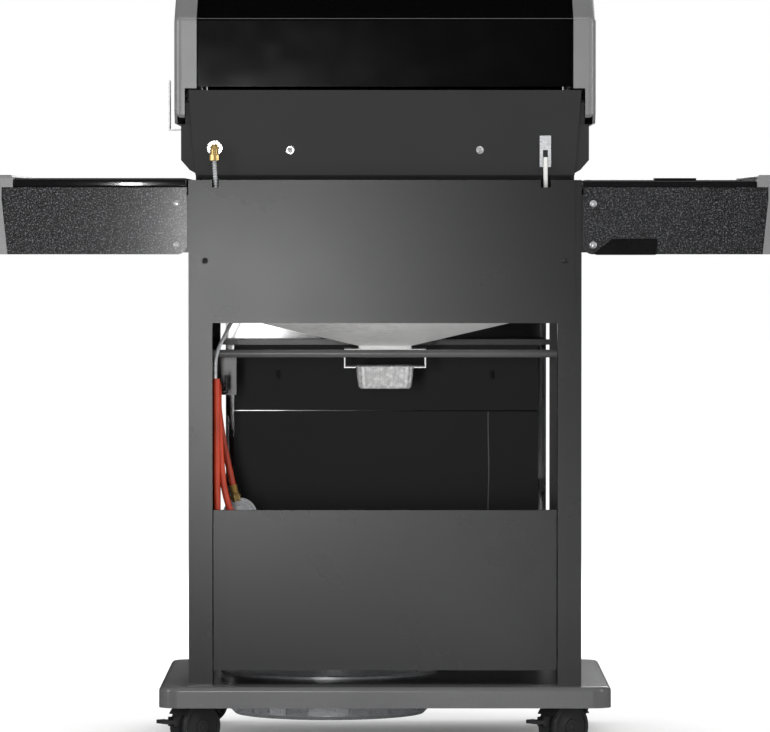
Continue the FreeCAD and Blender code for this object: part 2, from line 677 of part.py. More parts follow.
def build_castings():
    """Cast end walls that step out over the cart, each with a hinge ear at the back."""
    ends = []
    for side, sign in (("right", ""), ("left", "-")):
        section = [("cast_in", "cast_low"), ("cast_out", "cast_low"),
                   ("cast_out", "cast_step - 5"), ("cast_wide - 14", "cast_step"),
                   ("cast_wide", "cast_step + 16"), ("cast_wide", "cast_top"),
                   ("cast_in - 3", "cast_top"), ("cast_in - 3", "cast_top - 5"),
                   ("cast_wide - 5", "cast_top - 5"), ("cast_wide - 5", "cast_step + 18"),
                   ("cast_wide - 16", "cast_step + 6"), ("cast_in", "cast_step + 1")]
        section = [(f"{sign}({x})" if sign else x, z) for x, z in section]
        wall = pad("casting_section_" + side, "XZ", "-box_rear_wide", "box_front", section)
        rim = [(f"{sign}({x})" if sign else x, z) for x, z in (
            ("cast_in", "cast_step + 1"), ("cast_wide - 14", "cast_step"),
            ("cast_wide", "cast_step + 16"), ("cast_wide", "cast_top"),
            ("cast_in", "cast_top"))]
        ends_closed = [pad(f"casting_{end}_{side}", "XZ", low, high, rim) for end, low, high in (
            ("rear", "-box_rear_wide", "-box_rear_wide + 5"), ("front", "box_front - 5",
                                                              "box_front"))]
        trim = pad("casting_side_" + side, "YZ", "-cast_wide - 5", "cast_wide + 5", [
            ("-box_front - 5", "cast_low + 60"), ("-box_front + 40", "cast_low - 5"),
            ("box_rear", "cast_low - 5"), ("box_rear", "cast_step - 8"),
            ("box_rear_wide + 5", "cast_step - 8"), ("box_rear_wide + 5", "cast_top + 5"),
            ("-box_front - 5", "cast_top + 5")])
        span = ("ear_in", "ear_out") if not sign else ("-ear_out", "-ear_in")
        ear = pad("hinge_ear_" + side, "YZ", *span, [
            ("hinge_y - 26", "cast_top - 4"), ("hinge_y + 10", "cast_top - 4"),
            ("hinge_y + 10", "hinge_z + 8"), ("hinge_y + 5", "hinge_z + 12"),
            ("hinge_y - 6", "hinge_z + 12"), ("hinge_y - 12", "hinge_z + 6")])
        start = "ear_in" if not sign else "-cap_out + 3"
        pin = rod("hinge_pin_" + side, "hinge_pin", "cap_out - 3 - ear_in",
                  (start, "hinge_y", "hinge_z"), "x")
        bosses = [rod(f"casting_boss_{side}_{number}", "9", "post_out - cast_out",
                      ("cast_out" if not sign else "-post_out", y, "850"), "x")
                  for number, y in enumerate(("-box_front + 30", "0"))]
        ends.append(fuse("end_casting_" + side, common("casting_trimmed_" + side, wall, trim),
                         *ends_closed, ear, pin, *bosses))
    finish(group("end_castings", *ends))


def build_firebox_walls():
    """Front wall and lower back wall between the castings."""
    x = ("-cast_in", "cast_in")
    front = box("firebox_front_wall", x, ("-box_front + 3", "-box_front + 3 + sheet"),
                ("cast_low + 60", "cast_top - 6"))
    kick = pad("firebox_front_kick", "YZ", *x, [
        ("-box_front + 3", "cast_low + 60"), ("-box_front + 3 + sheet", "cast_low + 60"),
        ("-box_front + 80 + sheet", "cast_low"), ("-box_front + 80", "cast_low")])
    rear = box("firebox_rear_low", x, ("box_rear - 5", "box_rear - 3"), ("cast_low", "back_low + 6"))
    ledge = box("firebox_rear_ledge", x, ("box_rear - 42", "box_rear - 3"),
                ("grid_top - 14 - 68", "grid_top - 12 - 68"))
    front_ledge = box("firebox_front_ledge", x, ("-box_front + 3", "-box_front + 24"),
                      ("grid_top - 14", "grid_top - 12"))
    stop = rod("grid_stop", "3", "2 * cast_in", ("-cast_in", "box_rear - 48", "grid_top - 15"),
               "x")
    finish(group("firebox_walls", fuse("firebox_front", front, kick, front_ledge),
                 fuse("firebox_rear", rear, ledge), stop))


def build_back_panel():
    """Tapered sheet across the back with a turned top edge and a foot that meets the wall."""
    panel = pad("back_sheet", "XZ", "-back_skin", "-box_rear_wide", [
        ("-back_foot_half", "back_low"), ("back_foot_half", "back_low"),
        ("back_half", "back_top"), ("-back_half", "back_top")])
    top = box("back_turned_edge", ("-cast_in + 8", "cast_in - 8"), ("box_rear_wide - 10",
                                                                 "box_rear_wide"),
              ("back_top - sheet", "back_top"))
    foot = box("back_foot", ("-cast_in", "cast_in"), ("box_rear - 3", "box_rear_wide"),
               ("back_low", "back_low + sheet"))
    hole = rod("back_gas_hole", "6", "40", ("notch_right", "box_rear_wide - 10", "inlet_level"), "y")
    finish(cut("firebox_back_panel", fuse("back_folded", panel, top, foot), hole))


def build_funnel():
    """Open hopper under the firebox with a hanger for the cup."""
    half, front, rear = "funnel_half", "front_post_in + 4", "rear_post_in - 4"
    x, y = "outlet_x", "outlet_y"

    def hopper(name, grow, low, neck, top):
        body = doc.addObject("PartDesign::Body", name)
        mouth = rectangle((f"-{half} - {grow}", f"{half} + {grow}"),
                          (f"{front} - {grow}", f"{rear} + {grow}"))
        foot = rectangle((f"{x} - outlet_half - {grow}", f"{x} + outlet_half + {grow}"),
                         (f"{y} - outlet_half - {grow}", f"{y} + outlet_half + {grow}"))
        lower = sketch(body, name + "_foot", "XY", low, foot)
        upper = sketch(body, name + "_neck", "XY", neck, mouth)
        loft = body.newObject("PartDesign::AdditiveLoft", name + "_loft")
        loft.Profile = lower
        loft.Sections = [upper]
        loft.Ruled = True
        doc.recompute()
        collar = body.newObject("PartDesign::Pad", name + "_collar")
        collar.Profile = sketch(body, name + "_collar_outline", "XY", neck, mouth)
        collar.setExpression("Length", ex(f"({top}) - ({neck})"))
        doc.recompute()
        return body
    outer = hopper("funnel_outer", "0", "funnel_low", "funnel_neck", "tray_level")
    inner = hopper("funnel_inner", "-sheet", "funnel_low - 0.01", "funnel_neck + 1",
                   "tray_level + 2")
    shell = cut("funnel_shell", outer, inner)
    wings = [box("funnel_flange_" + side, x, (front, rear), ("tray_level - sheet", "tray_level"))
             for side, x in (("left", ("-cast_in + 6", f"-{half}")),
                             ("right", (half, "cast_in - 6")))]
    spout = cut("spout", box("spout_outer", (f"{x} - outlet_half", f"{x} + outlet_half"),
                             (f"{y} - outlet_half", f"{y} + outlet_half"),
                             ("spout_low", "funnel_low")),
                box("spout_inner", (f"{x} - outlet_half + sheet", f"{x} + outlet_half - sheet"),
                    (f"{y} - outlet_half + sheet", f"{y} + outlet_half - sheet"),
                    ("spout_low - 1", "funnel_low + 1")))
    hooks = [spout]
    for side, sign in (("left", "-"), ("right", "+")):
        web, near = f"{x} {sign} hanger_half", f"{x} {sign} (hanger_half - sheet)"
        inside, lip = f"{x} {sign} (cup_half - 3)", f"{x} {sign} (outlet_half - sheet)"
        leg = (web, near) if sign == "-" else (near, web)
        top = (near, lip) if sign == "-" else (lip, near)
        foot = (web, inside) if sign == "-" else (inside, web)
        depth = (f"{y} - cup_half", f"{y} + cup_half")
        hooks += [box("cup_leg_" + side, leg, depth, ("cup_top - 9", "spout_low + sheet")),
                  box("cup_tie_" + side, top, depth, ("spout_low", "spout_low + sheet")),
                  box("cup_runner_" + side, foot, depth, ("cup_top - 9", "cup_top - 7"))]
    finish(fuse("drip_funnel", shell, *wings, *hooks))


def build_cup():
    """Tapered foil cup with a flat rim that slides on the runners."""
    x, y = "outlet_x", "outlet_y"

    def tub(name, grow, low, high):
        body = doc.addObject("PartDesign::Body", name)
        foot = f"cup_half - 5 - cup_taper - {grow}"
        mouth = f"cup_half - 5 - {grow}"
        sides = [sketch(body, f"{name}_{end}", "XY", level,
                        rectangle((f"{x} - ({half})", f"{x} + ({half})"),
                                  (f"{y} - ({half})", f"{y} + ({half})")))
                 for end, half, level in (("foot", foot, low), ("mouth", mouth, high))]
        loft = body.newObject("PartDesign::AdditiveLoft", name + "_loft")
        loft.Profile = sides[0]
        loft.Sections = [sides[1]]
        loft.Ruled = True
        doc.recompute()
        return body
    rim = box("cup_rim", (f"{x} - cup_half", f"{x} + cup_half"),
              (f"{y} - cup_half", f"{y} + cup_half"), ("cup_top - 6.7", "cup_top - 5.5"))
    outside = tub("cup_outside", "0", "cup_low", "cup_top - 6")
    inside = tub("cup_inside", "1", "cup_low + 1", "cup_top - 3")
    finish(cut("grease_cup", fuse("cup_solid", outside, rim), inside))


# ---------------------------------------------------------------- lid

def lid_outline(low, front_low, grow, back):
    """Side view of the hood: flat back, sloping crown and a knee above the flat front."""
    return [(back, low), (back, "lid_shoulder"),
            ("lid_crown_rear", f"lid_top + {grow}"), ("-lid_crown_front", f"lid_top + {grow}"),
            (f"-lid_front - {grow}", "lid_knee"), (f"-lid_front - {grow}", front_low)]


def round_crown(body, name, back, grow=0):
    """Rolls the hood's bends across its whole width."""
    for step, (y, z, radius) in enumerate((
            ("lid_crown_rear", f"lid_top + {grow}", "90"),
            ("-lid_crown_front", f"lid_top + {grow}", "140"),
            (f"-lid_front - {grow}", "lid_knee", "90"),
            (back, "lid_shoulder", "8"))):
        spot = (value(y), value(z))
        soften(body, f"{name}_bend_{step}", radius, lambda edge: along(0)(edge) and math.dist(
            (edge.Vertexes[0].Y, edge.Vertexes[0].Z), spot) < 0.01)
    return body


def hollow(body, name, wall, open_face):
    """Thin wall left inside the skin, open where the test accepts a face."""
    doc.recompute()
    names = [f"Face{number}" for number, face in enumerate(body.Shape.Faces, start=1)
             if open_face(face)]
    solid = body.Tip
    feature = body.newObject("PartDesign::Thickness", name)
    feature.Base = (solid, names)
    feature.setExpression("Value", ex(wall))
    feature.Reversed = True
    feature.Join = "Intersection"
    doc.recompute()
    return body


def faces_down(face):
    return face.normalAt(0, 0).z < -0.5


def build_lid():
    """Hood sheet, and a cast cap on each end that turns on the casting's pin."""
    hood = pad("lid_shell", "YZ", "-lid_half", "lid_half",
               lid_outline("lid_low", "cap_low", "0", "lid_rear"))
    round_crown(hood, "hood", "lid_rear")
    hollow(hood, "hood_wall", "lid_sheet",
           lambda face: faces_down(face) or abs(face.normalAt(0, 0).x) > 0.9)
    finish(hood)

    outline = lid_outline("cap_low + 14", "cap_low", "cap_grow", "cap_rear")
    cap = pad("cap_solid", "YZ", "cap_in", "cap_out", [("hinge_y", "cap_low")] + outline)
    round_crown(cap, "cap", "cap_rear", "cap_grow")
    soften(cap, "cap_edge", "12", lambda edge: min(v.X for v in edge.Vertexes)
           > value("cap_out") - 0.1 and max(v.Z for v in edge.Vertexes) > value("cap_low") + 1)
    room = pad("cap_room", "YZ", "cap_in - 1", "cap_out - cap_wall", [
        ("cap_rear - cap_wall", "cap_low - 1"), ("cap_rear - cap_wall", "lid_shoulder - 4"),
        ("lid_crown_rear", "lid_top - cap_wall"), ("-lid_crown_front", "lid_top - cap_wall"),
        ("-lid_front + cap_wall", "lid_knee"), ("-lid_front + cap_wall", "cap_low - 1")])
    round_crown_room(room)
    relief = box("cap_relief", ("cap_in - 1", "ear_out + 1"), ("lid_rear - 40", "hinge_y + 20"),
                 ("cap_low - 1", "back_top + 3"))
    boss = rod("cap_boss", "hinge_pin + 6", "cap_out - ear_out - 4",
               ("ear_out + 2", "hinge_y", "hinge_z"), "x")
    bore = rod("cap_bore", "hinge_pin + 0.05", "40", ("ear_in", "hinge_y", "hinge_z"), "x")
    right = cut("lid_cap_right", fuse("cap_with_boss", cut("cap_shell", cap, room, relief),
                                      boss), bore)
    finish(group("lid_end_caps", right, mirrored("lid_cap_left", right)))

    bar = rod("handle_bar", "handle_radius", "2 * handle_half",
              ("-handle_half", "-handle_y", "handle_z"), "x")
    arms = []
    for side, x in (("left", "-handle_half + 25"), ("right", "handle_half - 25")):
        arms.append(box("handle_arm_" + side, (f"{x} - 9", f"{x} + 9"),
                        ("-handle_y", "-lid_front"), ("handle_z - 10", "handle_z + 10")))
        arms.append(rod("handle_collar_" + side, "handle_radius + 3", "18",
                        (f"{x} - 9", "-handle_y + 1", "handle_z"), "x"))
    trimmed = [common(f"{arm.Name}_trimmed", arm, box(
        f"{arm.Name}_limit", ("-handle_half - 5", "handle_half + 5"), ("-320", "-lid_front"),
        ("handle_z - 20", "handle_z + 20"))) for arm in arms]
    finish(fuse("lid_handle", bar, *trimmed))

    lean = "atan((lid_top - lid_knee) / (lid_front - lid_crown_front))"
    spot = ("0", "-(lid_front + lid_crown_front) / 2", "(lid_top + lid_knee) / 2")
    pieces = [rod("gauge_bezel", "gauge_radius", "11", spot),
              rod("gauge_stem", "5", "11", spot)]
    for piece in pieces:
        piece.Placement = FreeCAD.Placement(piece.Placement.Base,
                                            FreeCAD.Rotation(V(1, 0, 0), 40))
        piece.setExpression("Placement.Rotation.Angle", ex(lean))
    finish(fuse("thermometer", *pieces))


def round_crown_room(room):
    """Rounds the cap's inside where the crown bends over it."""
    for step, (y, z, radius) in enumerate((
            ("lid_crown_rear", "lid_top - cap_wall", "85"),
            ("-lid_crown_front", "lid_top - cap_wall", "135"),
            ("-lid_front + cap_wall", "lid_knee", "85"))):
        spot = (value(y), value(z))
        soften(room, f"room_bend_{step}", radius, lambda edge: along(0)(edge) and math.dist(
            (edge.Vertexes[0].Y, edge.Vertexes[0].Z), spot) < 0.01)


def build_motor_bracket():
    """Bent plate on the right casting that carries a spit motor."""
    x = "cast_wide"
    flange = box("motor_flange", (x, f"{x} + sheet"), ("-25", "25"), ("cast_step + 26",
                                                                  "cast_top - 3"))
    foot = box("motor_foot", (x, f"{x} + 29"), ("-25", "25"), ("cast_top - 5", "cast_top - 3"))
    arm = box("motor_arm", (f"{x} + 27", f"{x} + 29"), ("-25", "25"), ("cast_top - 5",
                                                                   "cast_top + 77"))
    slot = box("motor_slot", (f"{x} + 20", f"{x} + 35"), ("-6", "6"), ("cast_top + 50",
                                                                  "cast_top + 80"))
    finish(cut("rotisserie_bracket", fuse("motor_plate", flange, foot, arm), slot))


# ---------------------------------------------------------------- side shelves

def build_brackets():
    """Bent plates on the posts and castings that carry the side shelves."""
    plate = box("bracket_plate", ("post_out", "plate_out"), ("-shelf_front + 4", "post_rear - 4"),
                ("shelf_low + 3", "bolt_high + 14"))
    ears = [box("bracket_ear_front", ("post_out", "bolt_x + 12"),
                ("-shelf_front + 4", "-shelf_front + 6"), ("shelf_low + 3", "bolt_high + 14")),
            box("bracket_ear_rear", ("post_out", "bolt_x + 12"), ("post_rear - 6",
                                                               "post_rear - 4"),
                ("shelf_low + 3", "bolt_high + 14"))]
    holes = [rod("bracket_hole_low", "bolt_radius + 0.05", "600", ("bolt_x", "-300",
                                                                "bolt_low"), "y")]
    fixed = rod("bracket_hole_high", "bolt_radius + 0.05", "600", ("bolt_x", "-300",
                                                                "bolt_high"), "y")
    slot = box("bracket_slot", ("bolt_x - bolt_radius - 0.5", "bolt_x + 20"), ("-300", "300"),
               ("bolt_high - bolt_radius - 2.5", "bolt_high + bolt_radius + 0.5"))
    solid = fuse("bracket_bent", plate, *ears)
    pins = []
    for end, head, shank in (("rear", "post_rear", "post_rear - 14"),
                             ("front", "-shelf_front - 3", "-shelf_front")):
        for level in ("low", "high"):
            spot = ("bolt_x", head, "bolt_" + level)
            pins.append(fuse(f"shelf_bolt_{end}_{level}",
                             rod(f"bolt_head_{end}_{level}", "6", "3", spot, "y"),
                             rod(f"bolt_shank_{end}_{level}", "bolt_radius", "14",
                                 ("bolt_x", shank, "bolt_" + level), "y")))
    right = cut("shelf_bracket_right", solid, *holes, fixed)
    drilled = cut("bracket_drilled", solid, *holes, slot)
    finish(group("shelf_brackets", right, mirrored("shelf_bracket_left", drilled)))
    return pins


def shelf_pieces():
    """Frame, top and end cap of a side shelf, drawn on the right."""
    outer = pad("apron_solid", "XZ", "-post_rear", "shelf_front", rectangle(
        ("shelf_in", "apron_end"), ("shelf_low", "shelf_lip")))
    soften(outer, "apron_heel", "bolt_x - shelf_in - slack", lambda edge: along(1)(edge)
           and edge.Vertexes[0].X < value("shelf_in") + 1
           and edge.Vertexes[0].Z < value("shelf_low") + 1)
    inner = box("apron_room", ("shelf_in - 5", "apron_end - sheet"),
                ("-shelf_front + sheet", "post_rear - sheet"), ("shelf_low - 5",
                                                              "shelf_lip - sheet"))
    mouth = box("apron_mouth", ("shelf_in + 15", "apron_end - 17"),
                ("-shelf_front + 17", "post_rear - 17"), ("shelf_low", "shelf_lip + 5"))
    holes = [rod(f"apron_hole_{level}", "bolt_radius + 0.05", "600",
                 ("bolt_x", "-300", "bolt_" + level), "y") for level in ("low", "high")]
    frame = cut("shelf_frame", outer, inner, mouth, *holes)

    skin = pad("top_solid", "XY", "shelf_lip", "shelf_top", rectangle(
        ("shelf_in", "end_in - 10"), ("-shelf_front - 1", "post_rear + 1")))
    soften(skin, "top_edge", "4", lambda edge: min(v.Z for v in edge.Vertexes)
           > value("shelf_top") - 0.1)
    under = box("top_room", ("shelf_in + sheet", "end_in - 10 - sheet"),
                ("-shelf_front + 1", "post_rear - 1"), ("shelf_lip - 5", "shelf_top - sheet"))
    top = cut("shelf_top_pan", skin, under)

    cap = pad("end_solid", "XZ", "-post_rear - 4", "shelf_front + 4", [
        ("end_in", "shelf_low"), ("end_in + 9", "end_top - 40"), ("end_in + 9", "shelf_lip + 0.5"),
        ("end_in - 9", "shelf_lip + 0.5"), ("end_in - 9", "end_top"), ("shelf_out", "end_top"),
        ("shelf_out", "shelf_low")])
    soften(cap, "end_corner", "14", lambda edge: along(2)(edge)
           and edge.Vertexes[0].X > value("shelf_out") - 1)
    soften(cap, "end_top_edge", "5", lambda edge: min(v.Z for v in edge.Vertexes)
           > value("end_top") - 0.1)
    rooms = [box("end_room", ("apron_end + 0.5", "shelf_out - 4"),
                 ("-shelf_front - 0.5", "post_rear + 0.5"), ("shelf_low - 5", "end_top - 4")),
             box("end_mouth", ("end_in - 20", "apron_end + 0.5"),
                 ("-shelf_front - 0.5", "post_rear + 0.5"), ("shelf_low - 5",
                                                            "shelf_lip + 0.5")),
             box("end_upper_room", ("end_in - 5", "apron_end + 1"),
                 ("-shelf_front + 4", "post_rear - 4"), ("shelf_lip + 4", "end_top - 4"))]
    return frame, top, cut("shelf_end_cap", cap, *rooms)


def build_shelves():
    """Fixed shelf on the right, folding shelf on the left with its fold lever."""
    pins = build_brackets()
    frame, top, cap = shelf_pieces()
    insert = box("top_insert", ("shelf_in + 14", "end_in - 24"), ("-shelf_front + 12",
                                                              "post_rear - 6"),
                 ("shelf_top - sheet", "shelf_top + 3"))
    finish(group("shelf_right_frame", frame, pins[1], pins[3]))
    finish(fuse("shelf_right_top", top, insert))
    finish(group("shelf_right_end", cap))
    left_pins = [mirrored("left_" + pin.Name, pin) for pin in pins]
    peg_set = [left_pins[1], left_pins[3]]
    finish(group("shelf_left_frame", mirrored("left_frame", frame), *peg_set))
    block = box("top_block", ("-498", "-432"), ("post_rear - 60", "post_rear - 6"),
                ("shelf_top - sheet", "shelf_top + 3"))
    finish(fuse("shelf_left_top", mirrored("left_top", top), block))
    finish(group("shelf_left_end", mirrored("left_end", cap)))
    build_screws([pins[0], pins[2], left_pins[0], left_pins[2]])
    lever = pad("latch_plate", "XZ", "-post_rear - 3", "-post_rear - 0.3", [
        ("-latch_x + 50", "latch_z - 14"), ("-latch_x + 40", "latch_z - 6"),
        ("-latch_x + 16", "latch_z + 12"), ("-latch_x - 56", "latch_z + 12"),
        ("-latch_x - 54", "latch_z - 14")])
    soften(lever, "latch_corners", "3", along(1))
    screw = rod("latch_screw", "5", "2", ("-latch_x", "post_rear + 3", "latch_z"), "y")
    finish(fuse("shelf_latch", lever, screw))


# ---------------------------------------------------------------- door

def build_door():
    """Folded pan, liner, handle and match chain, hung on two pins at the left."""
    x = ("-door_left", "door_right")
    y = ("-door_front", "-door_front + door_depth")
    z = ("door_low", "door_top")
    shell = cut("door_pan", box("door_solid", x, y, z), box(
        "door_room", ("-door_left + sheet", "door_right - sheet"),
        ("-door_front + sheet", "-door_front + door_depth + 1"),
        ("door_low + sheet", "door_top - sheet")))
    blocks, bores = [], []
    for end, low, high in (("low", "door_low", "door_low + 16"),
                           ("high", "door_top - 16", "door_top")):
        blocks.append(box("pivot_block_" + end, ("-pivot_x - 5", "-pivot_x + 8"),
                          ("-door_front + 3", "-door_front + door_depth - 3"), (low, high)))
        bores.append(rod("pivot_bore_" + end, "pivot_radius + 0.05", f"{high} - ({low}) + 2",
                         ("-pivot_x", "-door_front + door_depth / 2", f"{low} - 1")))
    finish(cut("door_panel", fuse("door_with_blocks", shell, *blocks), *bores))
    back = "-door_front + door_depth"
    upper = box("liner_upper", ("-door_left + 13", "door_right - 14"), (back, f"{back} + sheet"),
                ("liner_split + 2", "liner_top"))
    lower = box("liner_lower", ("-door_left + 13", "door_right - 14"), (back, f"{back} + sheet"),
                ("door_low + 4", "liner_split"))
    hooks = []
    for side, spot in (("left", "-hook_x"), ("right", "hook_x")):
        hooks.append(rod("tool_hook_" + side, "2.5", "22", (spot, back, "585"), "y"))
        hooks.append(rod("tool_tip_" + side, "2.5", "14", (spot, f"{back} + 20", "583")))
    finish(group("door_liner", fuse("liner_with_hooks", upper, *hooks), lower))
    bar = rod("door_bar", "7", "260", ("door_right - 45", "-door_front - 34", "330"))
    studs = [rod(f"door_stud_{number}", "5", "34", ("door_right - 45", "-door_front - 34", level),
                 "y") for number, level in enumerate(("350", "570"))]
    finish(fuse("door_handle", bar, *studs))
    finish(rod("match_chain", "2.5", "190", ("-174", f"{back} + sheet + 3", "338")))


def build_door_pins():
    """Plate on the left front post and pins that the door turns on."""
    y = "-door_front + door_depth / 2"
    plate = box("pivot_plate", ("-pivot_x - 30", "-pivot_x + 8"), ("-door_front + 3",
                                                                "-post_front"),
                ("door_top + 1", "door_top + 4"))
    return [fuse("pivot_high", plate, rod("pivot_pin_high", "pivot_radius", "13",
                                          ("-pivot_x", y, "door_top - 12"))),
            rod("pivot_pin_low", "pivot_radius", "door_low - base_top + 12",
                ("-pivot_x", y, "base_top"))]


# ---------------------------------------------------------------- casters

CASTERS = (("front_left", "-caster_x", "-caster_front", 215),
           ("front_right", "caster_x", "-caster_front", 325),
           ("rear_left", "-caster_x", "caster_rear", 40),
           ("rear_right", "caster_x", "caster_rear", 40))


def turned(obj, x, y, angle):
    obj.Placement = FreeCAD.Placement(V(), FreeCAD.Rotation(V(0, 0, 1), angle))
    return place(obj, (x, y, "0"))


def build_casters():
    """Hooded twin-disc swivel casters; the rear pair has a brake pedal."""
    top = "hub_level + wheel_radius"
    disc_out = "cheek_half + 1.5 + disc_width"
    for corner, x, y, angle in CASTERS:
        def along_axle(name, radius, low, high, level="hub_level", reach="caster_trail"):
            return rod(f"{name}_{corner}", radius, f"({high}) - ({low})", (reach, low, level), "y")
        drum = along_axle("hood_drum", "wheel_radius + 4", f"-({disc_out}) - 2", f"{disc_out} + 2")
        cheek = box("hood_cheek_" + corner, ("-60", "120"), ("-cheek_half", "cheek_half"),
                    ("hub_level - 14", f"{top} + 4"))
        brim = box("hood_brim_" + corner, ("-60", "120"), (f"-({disc_out}) - 2", f"{disc_out} + 2"),
                   ("hub_level + 20", f"{top} + 4"))
        hood = common("hood_" + corner, drum, fuse("hood_limits_" + corner, cheek, brim))
        seat = rod("stem_seat_" + corner, "11", f"base_low + 9 - ({top} - 5)",
                   ("0", "0", f"{top} - 5"))
        rooms = [along_axle("disc_room_near", "wheel_radius + 1.5", f"-({disc_out}) - 5",
                            "-cheek_half - 0.5"),
                 along_axle("disc_room_far", "wheel_radius + 1.5", "cheek_half + 0.5",
                            f"{disc_out} + 5")]
        stem = rod("stem_" + corner, "swivel_radius", "base_top - base_low - 11",
                   ("0", "0", "base_low + 7"))
        pieces = [hood, seat]
        bores = rooms + [along_axle("axle_bore", "axle_radius + 0.05", "-30", "30")]
        if corner.startswith("rear"):
            tip = "caster_trail + wheel_radius + 4"
            pivot = (f"{tip} + 4", "hub_level + 10")
            lugs = [box(f"lug_{side}_{corner}", (f"{tip} - 12", f"{tip} + 8"), span,
                        ("hub_level + 2", "hub_level + 17"))
                    for side, span in (("near", ("-cheek_half", "-cheek_half + 2.5")),
                                       ("far", ("cheek_half - 2.5", "cheek_half")))]
            pin = along_axle("pedal_pin", "2", "-cheek_half", "cheek_half", pivot[1], pivot[0])
            gap = box("pedal_gap_" + corner, (f"{tip} - 4", f"{tip} + 12"),
                      ("-cheek_half + 2.5", "cheek_half - 2.5"), ("hub_level", "hub_level + 19"))
            pieces = [cut("hood_open_" + corner, hood, gap), seat, *lugs, pin]
            tongue = box("pedal_tongue_" + corner, (f"{tip}", f"{tip} + 14"),
                         ("-cheek_half + 3", "cheek_half - 3"), ("hub_level + 7",
                                                                 "hub_level + 13"))
            plate = box("pedal_plate_" + corner, (f"{tip} + 11", f"{tip} + 26"), ("-15", "15"),
                        ("hub_level + 7", "hub_level + 13"))
            hole = along_axle("pedal_bore", "2.05", "-30", "30", pivot[1], pivot[0])
            pedal = cut("pedal_" + corner, fuse("pedal_solid_" + corner, tongue, plate), hole)
            finish(turned(group("brake_pedal_" + corner, pedal), x, y, angle))
        body = cut("fork_bored_" + corner, fuse("fork_solid_" + corner, *pieces), *bores)
        finish(turned(fuse("caster_fork_" + corner, body, stem), x, y, angle))
        discs = [along_axle("disc_near", "wheel_radius", f"-({disc_out})", "-cheek_half - 1.5"),
                 along_axle("disc_far", "wheel_radius", "cheek_half + 1.5", disc_out),
                 along_axle("axle", "axle_radius", "-cheek_half - 1.5", "cheek_half + 1.5")]
        finish(turned(group("caster_wheel_" + corner, *discs), x, y, angle))


# ---------------------------------------------------------------- gas hose

LINE_ROUTE = ((273, 283, 944.5), (272, 283, 925), (270, 281, 893), (269.5, 275, 845),
              (269, 268, 790), (267, 258, 745), (266, 232, 718), (266, 190, 708),
              (266, 120, 708), (265, 40, 712), (266, -40, 710), (266, -110, 712),
              (266, -160, 722), (266, -192, 742), (266, -220, 768), (266, -238, 796),
              (266, -242, 820.5))
LEAD_ROUTE = ((-257, 271.6, 950), (-257, 276, 925), (-257.5, 279, 893), (-259, 275, 845),
              (-260, 267, 790), (-261, 257, 745), (-262, 232, 718), (-262, 190, 706),
              (-262, 120, 707), (-263, 40, 711), (-262, -40, 709), (-262, -110, 712),
              (-262, -160, 722), (-264, -192, 742), (-268, -218, 765), (-272, -234, 784),
              (-273, -238, 798.5))
FEED_ROUTE = ((240, -242, 820.5), (240, -238, 796), (240, -219, 768), (240, -192, 742),
              (241, -168, 708), (243, -126, 682), (246, -50, 682), (249, 40, 683),
              (249, 120, 684), (249.5, 180, 683), (251, 222, 679), (257, 246, 665),
              (267, 252, 646), (272, 254, 628), (272.5, 254, 610), (272.5, 254, 595.5))
HOSE_ROUTE = ((270.5, 254, 595), (270, 254, 540), (270.5, 254, 450), (269, 253, 360),
              (268, 252, 280), (256, 250, 205), (226, 248, 158), (175, 246, 145),
              (128, 244, 170), (111, 242, 220), (131, 241, 270), (173, 240, 305),
              (216, 240, 334), (244, 240, 366), (258, 240, 410), (263, 240, 450),
              (266, 240, 500), (268, 240, 548), (269, 204.6, 583.4), (271, 154.6, 583.4),
              (272, 119, 548), (268, 117, 515), (262, 118, 480), (255, 120, 448),
              (248, 122, 418))


def build_hose():
    """Feed pipe from the taps, the long hose over its hook, and the regulator."""
    cord("gas_feed_pipe", FEED_ROUTE, value("pipe_radius"))
    cord("gas_hose", HOSE_ROUTE, value("hose_radius"))
    end = V(*HOSE_ROUTE[-1])
    way = (end - V(*HOSE_ROUTE[-2])).normalize()
    ferrule = Part.makeCylinder(7, 16, end, way)
    nut = Part.makeCylinder(9, 16, end + way * 16, way)
    fittings = doc.addObject("Part::Feature", "hose_fittings")
    fittings.Shape = ferrule.fuse(nut).removeSplitter()
    finish(fittings)
    low = end + way * 32
    neck = Part.makeCylinder(5, 30, low, way)
    bell = Part.makeCylinder(28, 24, low + way * 50 + V(0, -12, 0), V(0, 1, 0))
    outlet = Part.makeCylinder(8, 46, low + way * 50, V(-1, 0, 0))
    regulator = doc.addObject("Part::Feature", "regulator")
    regulator.Shape = neck.fuse([bell, outlet]).removeSplitter()
    finish(regulator)


def build_all():
    build_base()
    build_well()
    build_side_panels()
    build_rear_panels()
    build_rail()
    build_console()
    build_manifold()
    build_knobs()
    build_burners()
    build_grids()
    build_warming_rack()
    build_rear_burner()
    build_rear_gas()
    build_igniter()
    build_castings()
    build_firebox_walls()
    build_back_panel()
    build_funnel()
    build_cup()
    build_lid()
    build_motor_bracket()
    build_shelves()
    build_door()
    build_posts()
    build_casters()
    build_hose()


def write_parts():
    doc.recompute()
    for obj in doc.Objects:
        if "Invalid" in obj.State or "Error" in obj.State:
            raise ValueError(f"{obj.Name} did not compute: {obj.State}")
    os.makedirs("parts", exist_ok=True)
    for obj in finished:
        if obj.Shape.isNull() or not obj.Shape.isValid() or not obj.Shape.Solids:
            raise ValueError(f"{obj.Label} is not a sound solid")
        obj.Shape.exportStep(f"parts/{obj.Label}.step")
    print(len(finished), "sub-parts written")


build_all()
write_parts()
